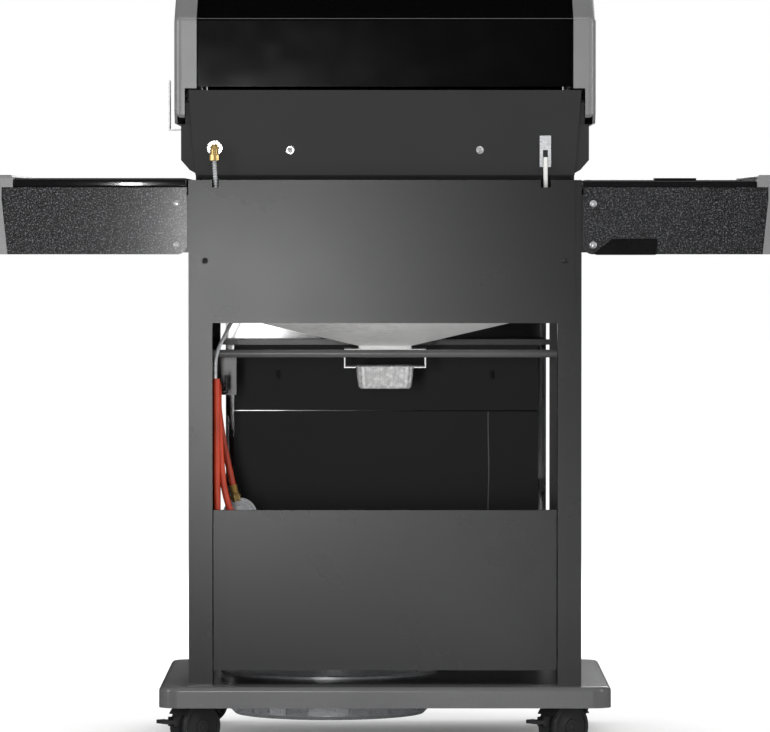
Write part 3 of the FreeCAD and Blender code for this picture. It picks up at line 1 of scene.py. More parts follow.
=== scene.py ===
"""Looks of a four-burner gas grill on a closed cart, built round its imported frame.

The cart's sheets keep the frame's own shapes and get their paint; the hose, casters, knobs, bolts, chain,
gas line, thermometer and other small parts are surfaces worked out here and laid over the frame's nodes.
Everything is in metres, with +Z up and the back of the grill towards +Y.
"""

import math

import bmesh
import bpy
import numpy as np
from bpy.props import FloatProperty, FloatVectorProperty, PointerProperty
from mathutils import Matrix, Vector


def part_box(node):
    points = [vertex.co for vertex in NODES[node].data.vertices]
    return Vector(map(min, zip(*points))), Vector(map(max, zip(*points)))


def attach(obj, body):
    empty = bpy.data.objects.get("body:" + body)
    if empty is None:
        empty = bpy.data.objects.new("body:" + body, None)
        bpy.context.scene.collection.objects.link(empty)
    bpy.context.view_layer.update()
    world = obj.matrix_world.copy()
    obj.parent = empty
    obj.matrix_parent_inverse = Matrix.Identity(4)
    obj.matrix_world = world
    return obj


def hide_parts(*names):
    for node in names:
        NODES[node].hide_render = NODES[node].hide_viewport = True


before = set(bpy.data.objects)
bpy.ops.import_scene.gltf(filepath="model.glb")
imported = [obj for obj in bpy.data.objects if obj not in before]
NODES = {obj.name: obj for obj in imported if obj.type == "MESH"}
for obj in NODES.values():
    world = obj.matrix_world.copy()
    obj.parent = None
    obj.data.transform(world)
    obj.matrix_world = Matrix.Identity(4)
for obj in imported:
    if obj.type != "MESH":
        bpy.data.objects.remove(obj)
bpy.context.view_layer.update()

bl_info = {
    "name": "Gas grill looks",
    "version": (1, 0, 0),
    "blender": (4, 5, 0),
    "location": "3D View > Sidebar > Grill",
    "description": "Builds the detailed pieces and finishes of a cart-mounted gas grill",
    "category": "Object",
}

FINISHES = {}


# ---------------------------------------------------------------- finishes

def new_finish(name, colour, metallic=0.0, roughness=0.5, **sockets):
    """A material with one Principled shader; constants sit on the shader's own sockets."""
    material = bpy.data.materials.new(name)
    material.use_nodes = True
    shader = material.node_tree.nodes["Principled BSDF"]
    shader.inputs["Base Color"].default_value = (*colour, 1)
    shader.inputs["Metallic"].default_value = metallic
    shader.inputs["Roughness"].default_value = roughness
    for socket, number in sockets.items():
        shader.inputs[socket.replace("_", " ")].default_value = number
    material.diffuse_color = (*colour, 1)
    FINISHES[name] = material
    return material


def add(material, kind, **settings):
    """One more node in a material's tree."""
    node = material.node_tree.nodes.new("ShaderNode" + kind)
    for setting, number in settings.items():
        setattr(node, setting, number)
    return node


def link(material, out, into):
    material.node_tree.links.new(out, into)


def shader_of(material):
    return material.node_tree.nodes["Principled BSDF"]


def pattern(material, kind, scale, stretch=(1, 1, 1), turn=(0, 0, 0), **inputs):
    """A noise or cell texture on object coordinates, stretched along its axes."""
    place = add(material, "TexCoord")
    turned = add(material, "Mapping")
    turned.inputs["Scale"].default_value = stretch
    turned.inputs["Rotation"].default_value = turn
    texture = add(material, kind)
    link(material, place.outputs["Object"], turned.inputs["Vector"])
    link(material, turned.outputs["Vector"], texture.inputs["Vector"])
    texture.inputs["Scale"].default_value = scale
    for socket, number in inputs.items():
        texture.inputs[socket.replace("_", " ")].default_value = number
    return texture.outputs[0]


def spread(material, source, low, high, start=0.3, end=0.7):
    """The source's range start to end, carried over to low to high."""
    node = add(material, "MapRange")
    for socket, number in (("From Min", start), ("From Max", end), ("To Min", low), ("To Max", high)):
        node.inputs[socket].default_value = number
    link(material, source, node.inputs["Value"])
    return node.outputs["Result"]


def blend_colours(material, source, first, second, start=0.35, end=0.65):
    """A colour that goes from first to second with the source."""
    ramp = add(material, "ValToRGB")
    ramp.color_ramp.elements[0].position = start
    ramp.color_ramp.elements[0].color = (*first, 1)
    ramp.color_ramp.elements[1].position = end
    ramp.color_ramp.elements[1].color = (*second, 1)
    link(material, source, ramp.inputs["Fac"])
    return ramp.outputs["Color"]


def paint(material, source, colour, darkest, lightest, *ends):
    """The base colour, from its darkest to its lightest share of the colour with the source."""
    link(material, blend_colours(material, source, tint(colour, darkest), tint(colour, lightest), *ends),
         shader_of(material).inputs["Base Color"])


def relief(material, *layers):
    """Bumps stacked on each other, each a (height source, depth in metres, strength)."""
    last = None
    for source, depth, strength in layers:
        bump = add(material, "Bump")
        bump.inputs["Distance"].default_value = depth
        bump.inputs["Strength"].default_value = strength
        link(material, source, bump.inputs["Height"])
        if last is not None:
            link(material, last, bump.inputs["Normal"])
        last = bump.outputs["Normal"]
    link(material, last, shader_of(material).inputs["Normal"])


def tint(colour, factor):
    return tuple(min(1.0, part * factor) for part in colour)


def powder_coat(name, colour, roughness, grain=900, depth=0.00012, metallic=0.0, flake=0.0):
    """Sprayed paint: faint cloudiness, uneven sheen and a fine orange-peel skin; flakes darken the specks."""
    material = new_finish(name, colour, metallic, roughness)
    shader = shader_of(material)
    cloud = pattern(material, "TexNoise", 7, Detail=3)
    speck = pattern(material, "TexNoise", grain * 1.7, Detail=2)
    shade = add(material, "Mix", data_type="RGBA", blend_type="MULTIPLY")
    shade.inputs["Factor"].default_value = 1
    link(material, blend_colours(material, cloud, tint(colour, 0.95), tint(colour, 1.05)), shade.inputs[6])
    link(material, blend_colours(material, speck, (0.82 - flake,) * 3, (1, 1, 1), 0.3, 0.62), shade.inputs[7])
    link(material, shade.outputs[2], shader.inputs["Base Color"])
    link(material, spread(material, cloud, roughness - 0.008, roughness + 0.008), shader.inputs["Roughness"])
    relief(material, (pattern(material, "TexNoise", grain, Detail=2), depth, 0.1))
    return material


def gloss_enamel(name, colour):
    """Fired enamel: deep gloss with a slow waviness and a pin-prick skin."""
    material = new_finish(name, colour, 0.0, 0.12, Coat_Weight=0.6, Coat_Roughness=0.04)
    shader = shader_of(material)
    wave = pattern(material, "TexNoise", 26, Detail=1)
    skin = pattern(material, "TexNoise", 620, Detail=2)
    paint(material, skin, colour, 0.8, 1.25)
    link(material, spread(material, wave, 0.10, 0.12), shader.inputs["Roughness"])
    relief(material, (wave, 0.0003, 0.03), (skin, 0.00004, 0.08))
    return material


def brushed(name, colour, grain=(1, 26, 26), low=0.2, high=0.36, metallic=1.0):
    """Brushed sheet: long fine scratches along X and a cloudy sheen across them."""
    material = new_finish(name, colour, metallic, low)
    shader = shader_of(material)
    lines = pattern(material, "TexNoise", 60, grain, Detail=4, Roughness=0.7)
    cloud = pattern(material, "TexNoise", 6, Detail=2)
    paint(material, lines, colour, 0.84, 1.08)
    mixed = add(material, "Math", operation="MULTIPLY_ADD")
    mixed.inputs[1].default_value = 0.6
    link(material, lines, mixed.inputs[0])
    link(material, cloud, mixed.inputs[2])
    link(material, spread(material, mixed.outputs[0], low, high, 0.5, 1.1), shader.inputs["Roughness"])
    relief(material, (lines, 0.00008, 0.3))
    return material


def zinc_plate(name, colour):
    """Zinc plating: overlapping spangles, each with its own sheen, and small scuffs."""
    material = new_finish(name, colour, 0.5, 0.35)
    shader = shader_of(material)
    spangle = pattern(material, "TexVoronoi", 130)
    scuff = pattern(material, "TexNoise", 90, (1, 1, 9), Detail=4)
    paint(material, scuff, colour, 0.78, 1.1)
    link(material, spread(material, spangle, 0.26, 0.44, 0.1, 0.9), shader.inputs["Roughness"])
    relief(material, (scuff, 0.00008, 0.25))
    return material


def cast_iron(name, colour):
    """Seasoned cast iron: sandy skin with darker oiled patches."""
    material = new_finish(name, colour, 0.15, 0.55)
    shader = shader_of(material)
    patch = pattern(material, "TexNoise", 18, Detail=5)
    sand = pattern(material, "TexNoise", 700, Detail=3)
    paint(material, patch, colour, 0.7, 1.5)
    link(material, spread(material, patch, 0.42, 0.68), shader.inputs["Roughness"])
    relief(material, (sand, 0.0003, 0.6))
    return material


def machined(name, colour, roughness=0.22, ring=320, stained=0.8):
    """Turned metal: fine tool rings and slight staining."""
    material = new_finish(name, colour, 0.7, roughness)
    shader = shader_of(material)
    stain = pattern(material, "TexNoise", 60, Detail=4)
    rings = pattern(material, "TexNoise", ring, (1, 1, 1), Detail=2)
    link(material, blend_colours(material, stain, tint(colour, stained), colour), shader.inputs["Base Color"])
    link(material, spread(material, stain, roughness - 0.05, roughness + 0.12), shader.inputs["Roughness"])
    relief(material, (rings, 0.00004, 0.3))
    return material


def crinkled_foil(name, colour):
    """Thin pressed foil: sharp random creases over a bright metal."""
    material = new_finish(name, colour, 0.15, 0.24)
    shader = shader_of(material)
    crease = pattern(material, "TexVoronoi", 85)
    cloud = pattern(material, "TexNoise", 120, Detail=5)
    paint(material, cloud, colour, 0.75, 1.05)
    link(material, spread(material, cloud, 0.16, 0.34), shader.inputs["Roughness"])
    relief(material, (crease, 0.0008, 0.2), (cloud, 0.0005, 0.2))
    return material


def rubber(name, colour, roughness=0.5, grain=420):
    """Rubber or moulded plastic: soft sheen, fine pores and dusty variation."""
    material = new_finish(name, colour, 0.0, roughness)
    shader = shader_of(material)
    dust = pattern(material, "TexNoise", 24, Detail=4)
    pores = pattern(material, "TexNoise", grain, Detail=2)
    paint(material, dust, colour, 0.82, 1.16)
    link(material, spread(material, dust, roughness - 0.07, roughness + 0.08), shader.inputs["Roughness"])
    relief(material, (pores, 0.0001, 0.3))
    return material


def hammered(name, colour):
    """Hammer finish: rounded pits under a glossy skin, with light freckles between them."""
    material = new_finish(name, colour, 0.25, 0.3, Coat_Weight=0.4, Coat_Roughness=0.12)
    shader = shader_of(material)
    pits = pattern(material, "TexVoronoi", 520, Randomness=1.0)
    freckle = pattern(material, "TexNoise", 430, Detail=3)
    paint(material, freckle, colour, 0.7, 22, 0.52, 0.68)
    link(material, spread(material, pits, 0.22, 0.42, 0.1, 0.8), shader.inputs["Roughness"])
    relief(material, (pits, 0.0006, 0.5), (freckle, 0.0002, 0.25))
    return material


def make_finishes(colours):
    """Every finish of the grill, under the name of its slot in the record."""
    powder_coat("frame_black", colours.cart_black, 0.27, 900, 0.00005)
    powder_coat("frame_grey", colours.base_grey, 0.26, 700, 0.00008, 0.1, 0.12)
    powder_coat("cast_grey", colours.casting_grey, 0.3, 520, 0.00012, 0.15, 0.1)
    powder_coat("panel_grey", colours.panel_grey, 0.56, 800, 0.00012)
    gloss_enamel("lid_black", colours.hood_black)
    gloss_enamel("gloss_trim", (0.006, 0.006, 0.0063))
    brushed("stainless", (0.9, 0.9, 0.89), metallic=0.1)
    zinc_plate("zinc", (0.62, 0.63, 0.65))
    machined("chrome", (0.78, 0.78, 0.79), 0.09, 260, 0.9)
    machined("brass", (0.74, 0.52, 0.2), 0.24, 320, 0.7)
    cast_iron("iron", (0.03, 0.03, 0.031))
    crinkled_foil("foil", (0.92, 0.92, 0.92))
    rubber("hose_orange", colours.hose_orange, 0.42, 300)
    rubber("lead_white", (0.78, 0.78, 0.75), 0.4)
    hammered("wrinkle_black", (0.0055, 0.0055, 0.006))
    rubber("caster_plastic", colours.caster_grey, 0.46, 500)
    rubber("knob_black", (0.01, 0.01, 0.0105), 0.3, 600)


# ---------------------------------------------------------------- surfaces

def surface(points, wrap_u=False, wrap_v=False):
    """The quads of a grid of points, joined round where it wraps."""
    rows, columns = points.shape[:2]
    index = np.arange(rows * columns).reshape(rows, columns)
    if wrap_u:
        index = np.vstack([index, index[:1]])
    if wrap_v:
        index = np.hstack([index, index[:, :1]])
    quads = np.stack([index[:-1, :-1], index[1:, :-1], index[1:, 1:], index[:-1, 1:]], -1)
    return points.reshape(-1, 3), quads.reshape(-1, 4)


def together(*shapes):
    """Several shapes as one list of points and quads."""
    counts = np.cumsum([0] + [len(points) for points, quads in shapes])
    points = np.vstack([points for points, quads in shapes])
    quads = np.vstack([quads + start for (_, quads), start in zip(shapes, counts)])
    return points, quads


def axes(direction, hint=(0, 0, 1)):
    """Three unit vectors: two across the direction, then the direction."""
    ahead = np.array(direction, float)
    ahead /= np.linalg.norm(ahead)
    side = np.cross(hint, ahead)
    if np.linalg.norm(side) < 1e-3:
        side = np.cross((1, 0, 0), ahead)
    side /= np.linalg.norm(side)
    return side, np.cross(ahead, side), ahead


def moved(shape, start, direction=(0, 0, 1), hint=(0, 0, 1)):
    """A shape drawn about the Z axis, laid with its Z along the direction from the start."""
    side, up, ahead = axes(direction, hint)
    points, quads = shape
    return np.array(start) + points @ np.array([side, up, ahead]), quads


def revolve(profile, segments=40, lobes=0, depth=0.0):
    """Surface of revolution: each profile point (radius, height) goes round Z.
    With lobes, the radius swells and shrinks that many times round, by the depth."""
    radius, height = np.array(profile, float).T
    turn = np.linspace(0, 2 * math.pi, segments, endpoint=False)
    swell = 1 + depth * np.cos(lobes * turn)
    ring = np.outer(radius, swell)
    points = np.stack([ring * np.cos(turn), ring * np.sin(turn), np.outer(height, np.ones(segments))], -1)
    return surface(points, wrap_v=True)


def rounded(points, radius, steps=4):
    """A closed outline whose corners are replaced by arcs: each corner is a quadratic curve
    between the points at the radius on either side of it."""
    points = np.array(points, float)
    back = np.roll(points, 1, 0) - points
    ahead = np.roll(points, -1, 0) - points
    start = points + back / np.linalg.norm(back, axis=1, keepdims=True) * radius
    end = points + ahead / np.linalg.norm(ahead, axis=1, keepdims=True) * radius
    step = np.linspace(0, 1, steps + 1)[None, :, None]
    arc = (1 - step) ** 2 * start[:, None] + step ** 2 * end[:, None]
    arc = arc + 2 * step * (1 - step) * points[:, None]
    return arc.reshape(-1, points.shape[1])


def plate(outline, thickness, bevel=0.0):
    """A flat plate about Z: the outline at the bottom and top, drawn in towards its middle by the bevel
    at each face, and closed by a point at the middle of each face."""
    outline = np.array(outline, float)
    middle = outline.mean(0)
    away = outline - middle
    inner = middle + away * (1 - bevel / np.linalg.norm(away, axis=1, keepdims=True))
    levels = [(middle + 0 * away, 0), (inner, 0), (outline, bevel), (outline, thickness - bevel),
              (inner, thickness), (middle + 0 * away, thickness)]
    rings = [np.column_stack([ring, np.full(len(ring), level)]) for ring, level in levels]
    return surface(np.array(rings), wrap_v=True)


def block(low, high, radius=0.001, steps=3):
    """A box with round edges: a ball's quarter arcs pushed out to the box's eight corners."""
    low, high = np.array(low, float), np.array(high, float)
    half, middle = (high - low) / 2, (high + low) / 2
    quarter = np.linspace(0, math.pi / 2, steps + 1)
    turn = np.concatenate([quarter + side * math.pi / 2 for side in range(4)])
    sign_x = np.repeat([1, -1, -1, 1], steps + 1)
    sign_y = np.repeat([1, 1, -1, -1], steps + 1)
    lift = np.concatenate([quarter - math.pi / 2, quarter])
    sign_z = np.repeat([-1, 1], steps + 1)
    core = half - radius
    x = sign_x * core[0] + radius * np.outer(np.cos(lift), np.cos(turn))
    y = sign_y * core[1] + radius * np.outer(np.cos(lift), np.sin(turn))
    z = np.repeat((sign_z * core[2] + radius * np.sin(lift))[:, None], len(turn), 1)
    rings = np.stack([x, y, z], -1)
    caps = [np.broadcast_to((0, 0, level), rings[:1].shape) for level in (-half[2], half[2])]
    points, quads = surface(np.vstack([caps[0], rings, caps[1]]), wrap_v=True)
    return points + middle, quads


def smooth_line(points, count, closed=False):
    """A smooth line through few points: a Catmull-Rom cubic, sampled evenly by parameter."""
    points = np.array(points, float)
    if closed:
        padded = np.vstack([points[-1:], points, points[:2]])
        spans = len(points)
    else:
        padded = np.vstack([2 * points[:1] - points[1:2], points, 2 * points[-1:] - points[-2:-1]])
        spans = len(points) - 1
    place = np.linspace(0, spans, count, endpoint=not closed)
    start = np.minimum(place.astype(int), spans - 1)
    t = (place - start)[:, None]
    a, b, c, d = (padded[start + k] for k in range(4))
    bend, twist = 2 * a - 5 * b + 4 * c - d, 3 * b - a - 3 * c + d
    return 0.5 * (2 * b + (c - a) * t + bend * t ** 2 + twist * t ** 3)


def tube(line, radius, segments=16, hint=(0, 0, 1), closed=False, section=None):
    """A section carried along a line, square to it; round unless a section is given.
    The radius may be one number or one for each point of the line."""
    line = np.array(line, float)
    if closed:
        ahead = np.roll(line, -1, 0) - np.roll(line, 1, 0)
    else:
        ahead = np.gradient(line, axis=0)
    ahead /= np.linalg.norm(ahead, axis=1, keepdims=True)
    side = np.cross(hint, ahead)
    side /= np.linalg.norm(side, axis=1, keepdims=True)
    up = np.cross(ahead, side)
    if section is None:
        turn = np.linspace(0, 2 * math.pi, segments, endpoint=False)
        section = np.stack([np.cos(turn), np.sin(turn)], -1)
    reach = np.broadcast_to(np.array(radius, float), (len(line),))[:, None, None]
    across = section[None, :, :1] * side[:, None] + section[None, :, 1:] * up[:, None]
    rings = line[:, None] + reach * across
    if not closed:
        rings = np.concatenate([np.broadcast_to(line[:1, None], rings[:1].shape), rings,
                                np.broadcast_to(line[-1:, None], rings[:1].shape)])
    return surface(rings, wrap_u=closed, wrap_v=True)


def piece(name, shape, finish, body, *replaced, angle=32):
    """The shape as an object: doubles merged, normals outward, edges past the angle kept sharp,
    riding on its body and standing for the frame's nodes that it replaces."""
    points, quads = shape
    mesh = bpy.data.meshes.new(name)
    mesh.from_pydata(points.tolist(), [], quads.tolist())
    work = bmesh.new()
    work.from_mesh(mesh)
    bmesh.ops.remove_doubles(work, verts=work.verts, dist=2e-6)
    bmesh.ops.dissolve_degenerate(work, dist=1e-7, edges=work.edges)
    bmesh.ops.recalc_face_normals(work, faces=work.faces)
    work.to_mesh(mesh)
    work.free()
    mesh.shade_smooth()
    mesh.set_sharp_from_angle(angle=math.radians(angle))
    mesh.materials.append(FINISHES[finish])
    thing = bpy.data.objects.new(name, mesh)
    bpy.context.scene.collection.objects.link(thing)
    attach(thing, body)
    if replaced:
        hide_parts(*replaced)
    return thing


def span(node):
    """A node's lowest and highest corners as arrays."""
    low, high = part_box(node)
    return np.array(low), np.array(high)


# ---------------------------------------------------------------- stage

def aim_camera(settings):
    """Camera straight behind the grill, level with the console and tilted slightly down."""
    camera = bpy.data.objects.new("camera", bpy.data.cameras.new("camera"))
    bpy.context.scene.collection.objects.link(camera)
    camera.data.lens = settings.lens
    camera.data.sensor_width = 36
    camera.data.clip_end = 100
    camera.location = (0, settings.distance, settings.eye_height)
    camera.rotation_euler = (math.pi / 2 - settings.tilt, 0, math.pi)
    bpy.context.scene.camera = camera


def soft_light(name, power, size, spot, target):
    """A square soft box that looks from its spot at the target."""
    lamp = bpy.data.lights.new(name, "AREA")
    lamp.energy = power
    lamp.shape = "RECTANGLE"
    lamp.size, lamp.size_y = size
    holder = bpy.data.objects.new(name, lamp)
    bpy.context.scene.collection.objects.link(holder)
    holder.visible_camera = False
    holder.location = spot
    holder.rotation_euler = (Vector(target) - Vector(spot)).to_track_quat("-Z", "Y").to_euler()
    return holder


def lay_floor():
    """A wide white floor, slightly lit from within and left out of reflections."""
    reach = np.linspace(-30, 30, 3)
    x, y = np.meshgrid(reach, reach, indexing="ij")
    points, quads = surface(np.stack([x, y, 0 * x], -1))
    mesh = bpy.data.meshes.new("floor")
    mesh.from_pydata(points.tolist(), [], quads.tolist())
    floor = bpy.data.objects.new("floor", mesh)
    material = bpy.data.materials.new("floor_paper")
    material.use_nodes = True
    shader = shader_of(material)
    shader.inputs["Roughness"].default_value = 0.9
    shader.inputs["Specular IOR Level"].default_value = 0.0
    shader.inputs["Emission Color"].default_value = (1, 1, 1, 1)
    shader.inputs["Emission Strength"].default_value = 0.07
    grain = pattern(material, "TexNoise", 3, Detail=2)
    link(material, blend_colours(material, grain, (0.97, 0.97, 0.97), (0.99, 0.99, 0.99)),
         shader.inputs["Base Color"])
    mesh.materials.append(material)
    bpy.context.scene.collection.objects.link(floor)
    floor.visible_glossy = False


def paint_sky(strength):
    """Surroundings with a ramp by height, white at both ends, left out of reflections so that only the
    soft boxes show in the paint."""
    world = bpy.data.worlds.new("studio")
    bpy.context.scene.world = world
    world.use_nodes = True
    tree = world.node_tree
    place = tree.nodes.new("ShaderNodeTexCoord")
    split = tree.nodes.new("ShaderNodeSeparateXYZ")
    ramp = tree.nodes.new("ShaderNodeValToRGB")
    for element, position in zip(ramp.color_ramp.elements, (0.0, 1.0)):
        element.position = position
        element.color = (1, 1, 1, 1)
    tree.links.new(place.outputs["Generated"], split.inputs[0])
    tree.links.new(split.outputs["Z"], ramp.inputs["Fac"])
    back = tree.nodes["Background"]
    back.inputs["Strength"].default_value = strength
    tree.links.new(ramp.outputs["Color"], back.inputs["Color"])
    world.cycles_visibility.glossy = False


# ---------------------------------------------------------------- settings

class GrillColours(bpy.types.PropertyGroup):
    """Paint and plastic colours."""
    cart_black: FloatVectorProperty(name="Cart", description="Satin black of the cart's sheets and posts",
                                    subtype="COLOR", default=(0.005, 0.0051, 0.0053))
    base_grey: FloatVectorProperty(name="Base", description="Gunmetal paint of the base pan",
                                   subtype="COLOR", default=(0.11, 0.11, 0.112))
    casting_grey: FloatVectorProperty(name="Castings", description="Gunmetal paint of the cast ends",
                                      subtype="COLOR", default=(0.21, 0.21, 0.213))
    panel_grey: FloatVectorProperty(name="Back panel", description="Matt enamel of the firebox panel",
                                    subtype="COLOR", default=(0.019, 0.0192, 0.0195))
    hood_black: FloatVectorProperty(name="Hood", description="Gloss enamel of the hood",
                                    subtype="COLOR", default=(0.0018, 0.0018, 0.002))
    hose_orange: FloatVectorProperty(name="Hose", description="Rubber of the gas hose",
                                     subtype="COLOR", default=(0.5, 0.045, 0.015))
    caster_grey: FloatVectorProperty(name="Casters", description="Moulded plastic of the casters",
                                     subtype="COLOR", default=(0.02, 0.02, 0.0215))


class GrillStage(bpy.types.PropertyGroup):
    """Camera and light."""
    distance: FloatProperty(name="Distance", description="Camera's place along Y", unit="LENGTH",
                            default=9.288)
    eye_height: FloatProperty(name="Eye height", description="Camera's height", unit="LENGTH", default=0.85)
    tilt: FloatProperty(name="Tilt", description="How far the camera looks down", subtype="ANGLE",
                        default=math.radians(1.487))
    lens: FloatProperty(name="Lens", description="Focal length in millimetres", default=263.0)
    sky: FloatProperty(name="Sky", description="Strength of the white surroundings", default=1.0)
    key: FloatProperty(name="Key light", description="Power that every soft box takes its share of",
                       unit="POWER", default=120.0)


class GrillParts(bpy.types.PropertyGroup):
    """Sizes of the small parts."""
    hose_width: FloatProperty(name="Hose width", description="Outside diameter of the gas hose",
                              unit="LENGTH", default=0.0105)
    hose_length: FloatProperty(name="Hose length", description="Length of the hose between its fittings",
                               unit="LENGTH", default=1.256)


# ---------------------------------------------------------------- operators

# Name, share of the key light's power, size, place and target of each soft box.
SOFT_BOXES = (
    ("overhead", 0.1, (2.6, 0.5), (0, 1.9, 3.6), (0, 0.2, 0.9)),
    ("cover_glow", 0.17, (0.2, 0.7), (0.36, 4.4, 0.60), (0.1, 0.27, 0.72)),
    ("panel_glow", 0.03, (0.25, 0.3), (-0.30, 4.4, 0.0), (-0.2, 0.24, 0.3)),
    ("left_bank", 0.3, (0.4, 2.4), (3.6, 2.2, 1.3), (0, 0.25, 0.6)),
    ("right_bank", 0.22, (0.4, 2.4), (-3.6, 2.0, 1.5), (0, 0.2, 0.6)),
    ("front_bank", 0.45, (2.4, 1.6), (-0.8, -4.0, 2.2), (0, 0, 0.6)),
)


class GRILL_OT_stage(bpy.types.Operator):
    """Set the camera, floor and lights"""
    bl_idname = "grill.stage"
    bl_label = "Stage"

    def execute(self, context):
        settings = context.scene.grill_stage
        aim_camera(settings)
        lay_floor()
        paint_sky(settings.sky)
        for name, share, size, spot, target in SOFT_BOXES:
            soft_light(name, settings.key * share, size, spot, target)
        context.scene.view_settings.view_transform = "Standard"
        return {"FINISHED"}


class GRILL_OT_finishes(bpy.types.Operator):
    """Give every node of the frame its finish"""
    bl_idname = "grill.finishes"
    bl_label = "Finishes"

    def execute(self, context):
        make_finishes(context.scene.grill_colours)
        for node in NODES.values():
            for holder in node.material_slots:
                holder.material = FINISHES[holder.material.name.split(".")[0]]
        return {"FINISHED"}


HOSE_ROUTE = (
    (0.2705, 0.254, 0.595), (0.270, 0.254, 0.540), (0.2705, 0.254, 0.450), (0.269, 0.253, 0.360),
    (0.268, 0.252, 0.280), (0.256, 0.250, 0.205), (0.226, 0.248, 0.158), (0.175, 0.246, 0.145),
    (0.128, 0.244, 0.170), (0.111, 0.242, 0.220), (0.131, 0.241, 0.270), (0.173, 0.240, 0.305),
    (0.216, 0.240, 0.334), (0.244, 0.240, 0.366), (0.258, 0.240, 0.410), (0.263, 0.240, 0.450),
    (0.266, 0.240, 0.500), (0.268, 0.240, 0.548), (0.269, 0.2046, 0.5834), (0.271, 0.1546, 0.5834),
    (0.272, 0.119, 0.548), (0.268, 0.117, 0.515), (0.262, 0.118, 0.480), (0.255, 0.120, 0.448),
    (0.248, 0.122, 0.418),
)


class GRILL_OT_hose(bpy.types.Operator):
    """Hang the gas hose in its loop and over its hook"""
    bl_idname = "grill.hose"
    bl_label = "Gas hose"

    def execute(self, context):
        parts = context.scene.grill_parts
        curve = bpy.data.curves.new("hose", "CURVE")
        curve.dimensions = "3D"
        curve.bevel_depth = parts.hose_width / 2
        curve.bevel_resolution = 5
        curve.resolution_u = 12
        curve.use_fill_caps = True
        spline = curve.splines.new("NURBS")
        spline.points.add(len(HOSE_ROUTE) - 1)
        spline.points.foreach_set("co", np.column_stack([HOSE_ROUTE, np.ones(len(HOSE_ROUTE))]).ravel())
        spline.order_u = 3
        spline.use_endpoint_u = True
        curve.materials.append(FINISHES["hose_orange"])
        hose = bpy.data.objects.new("hose", curve)
        context.scene.collection.objects.link(hose)
        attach(hose, "cart")
        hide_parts("gas_hose")
        return {"FINISHED"}


def screw_head(radius, height, recess=0.0, flange=0.0):
    """A domed head about Z: the height falls off as a circle's arc with the radius, less a smooth
    cross-shaped recess, and drops to a thin flange outside the head where one is asked for."""
    outer = radius + flange
    reach = np.linspace(0, 1, 26)[:, None] * outer
    turn = np.linspace(0, 2 * math.pi, 48, endpoint=False)[None, :]
    x, y = reach * np.cos(turn), reach * np.sin(turn)
    dome = height * np.sqrt(np.clip(1 - (reach / radius) ** 2, 0, 1)) ** 0.7 + 0 * turn
    z = np.maximum(dome, 0.0007)
    near = np.minimum(np.maximum(abs(x) * 2.6, abs(y)), np.maximum(abs(x), abs(y) * 2.6))
    z = z - recess * np.clip((radius * 0.62 - near) / (radius * 0.12), 0, 1)
    top = np.stack([x, y, z], -1)
    edge = np.stack([x[-1], y[-1], 0 * x[-1]], -1)[None]
    return surface(np.concatenate([top, edge, 0 * edge]), wrap_v=True)


def nut(across, thickness, bevel=0.0006):
    """A six-sided nut about Z, measured across its corners."""
    turn = np.arange(6) * math.pi / 3
    corners = np.column_stack([np.cos(turn), np.sin(turn)]) * across / 2
    return plate(rounded(corners, across * 0.02, 2), thickness, bevel)


BACK, FRONT = (0, 1, 0), (0, -1, 0)
COVER_SCREW = (0.288, 0.785)
PANEL_SCREW = (0.152, 0.962)
BOLT_X, BOLT_LOW, BOLT_HIGH = 0.333, 0.810, 0.876
BOLT_HEAD = 0.0033


class GRILL_OT_screws(bpy.types.Operator):
    """Turn the screws of the back cover and panel and the bolts of the shelves"""
    bl_idname = "grill.screws"
    bl_label = "Screws"

    def execute(self, context):
        cover, panel = span("rear_cover")[1][1], span("firebox_back_panel")[1][1] - 0.0005
        low, high = span("frame_screws")
        rear, front = high[1] - BOLT_HEAD, low[1] + BOLT_HEAD
        bolt = screw_head(0.0058, 0.0031)

        def pair(head, spot, y, way=BACK):
            return [moved(head, (side * spot[0], y, spot[1]), way) for side in (1, -1)]
        heads = pair(screw_head(0.0048, 0.003, 0.0012), COVER_SCREW, cover)
        piece("cover_screw_heads", together(*heads), "gloss_trim", "cart")
        panel_screws = pair(screw_head(0.0042, 0.0024, 0.0013, 0.0021), PANEL_SCREW, panel)
        bolts = pair(bolt, (BOLT_X, BOLT_LOW), rear) + pair(bolt, (BOLT_X, BOLT_LOW), front, FRONT)
        piece("screws", together(*panel_screws, *bolts), "chrome", "cart", "frame_screws", angle=50)
        skin = span("shelf_right_frame")[1][1] - 0.0002
        for name, side, body in (("shelf_bolts_right", 1, "cart"), ("shelf_bolts_left", -1, "folding_shelf")):
            piece(name, moved(bolt, (side * BOLT_X, skin, BOLT_HIGH), BACK), "chrome", body, angle=50)
        return {"FINISHED"}


LINE_ROUTE = (
    (0.273, 0.283, 0.9445), (0.272, 0.283, 0.925), (0.270, 0.281, 0.893), (0.2695, 0.275, 0.845),
    (0.269, 0.268, 0.790), (0.267, 0.258, 0.745), (0.266, 0.232, 0.718), (0.266, 0.190, 0.708),
    (0.266, 0.120, 0.708), (0.265, 0.040, 0.712), (0.266, -0.040, 0.710), (0.266, -0.110, 0.712),
    (0.266, -0.160, 0.722), (0.266, -0.192, 0.742), (0.266, -0.220, 0.768), (0.266, -0.238, 0.796),
    (0.266, -0.242, 0.8205),
)


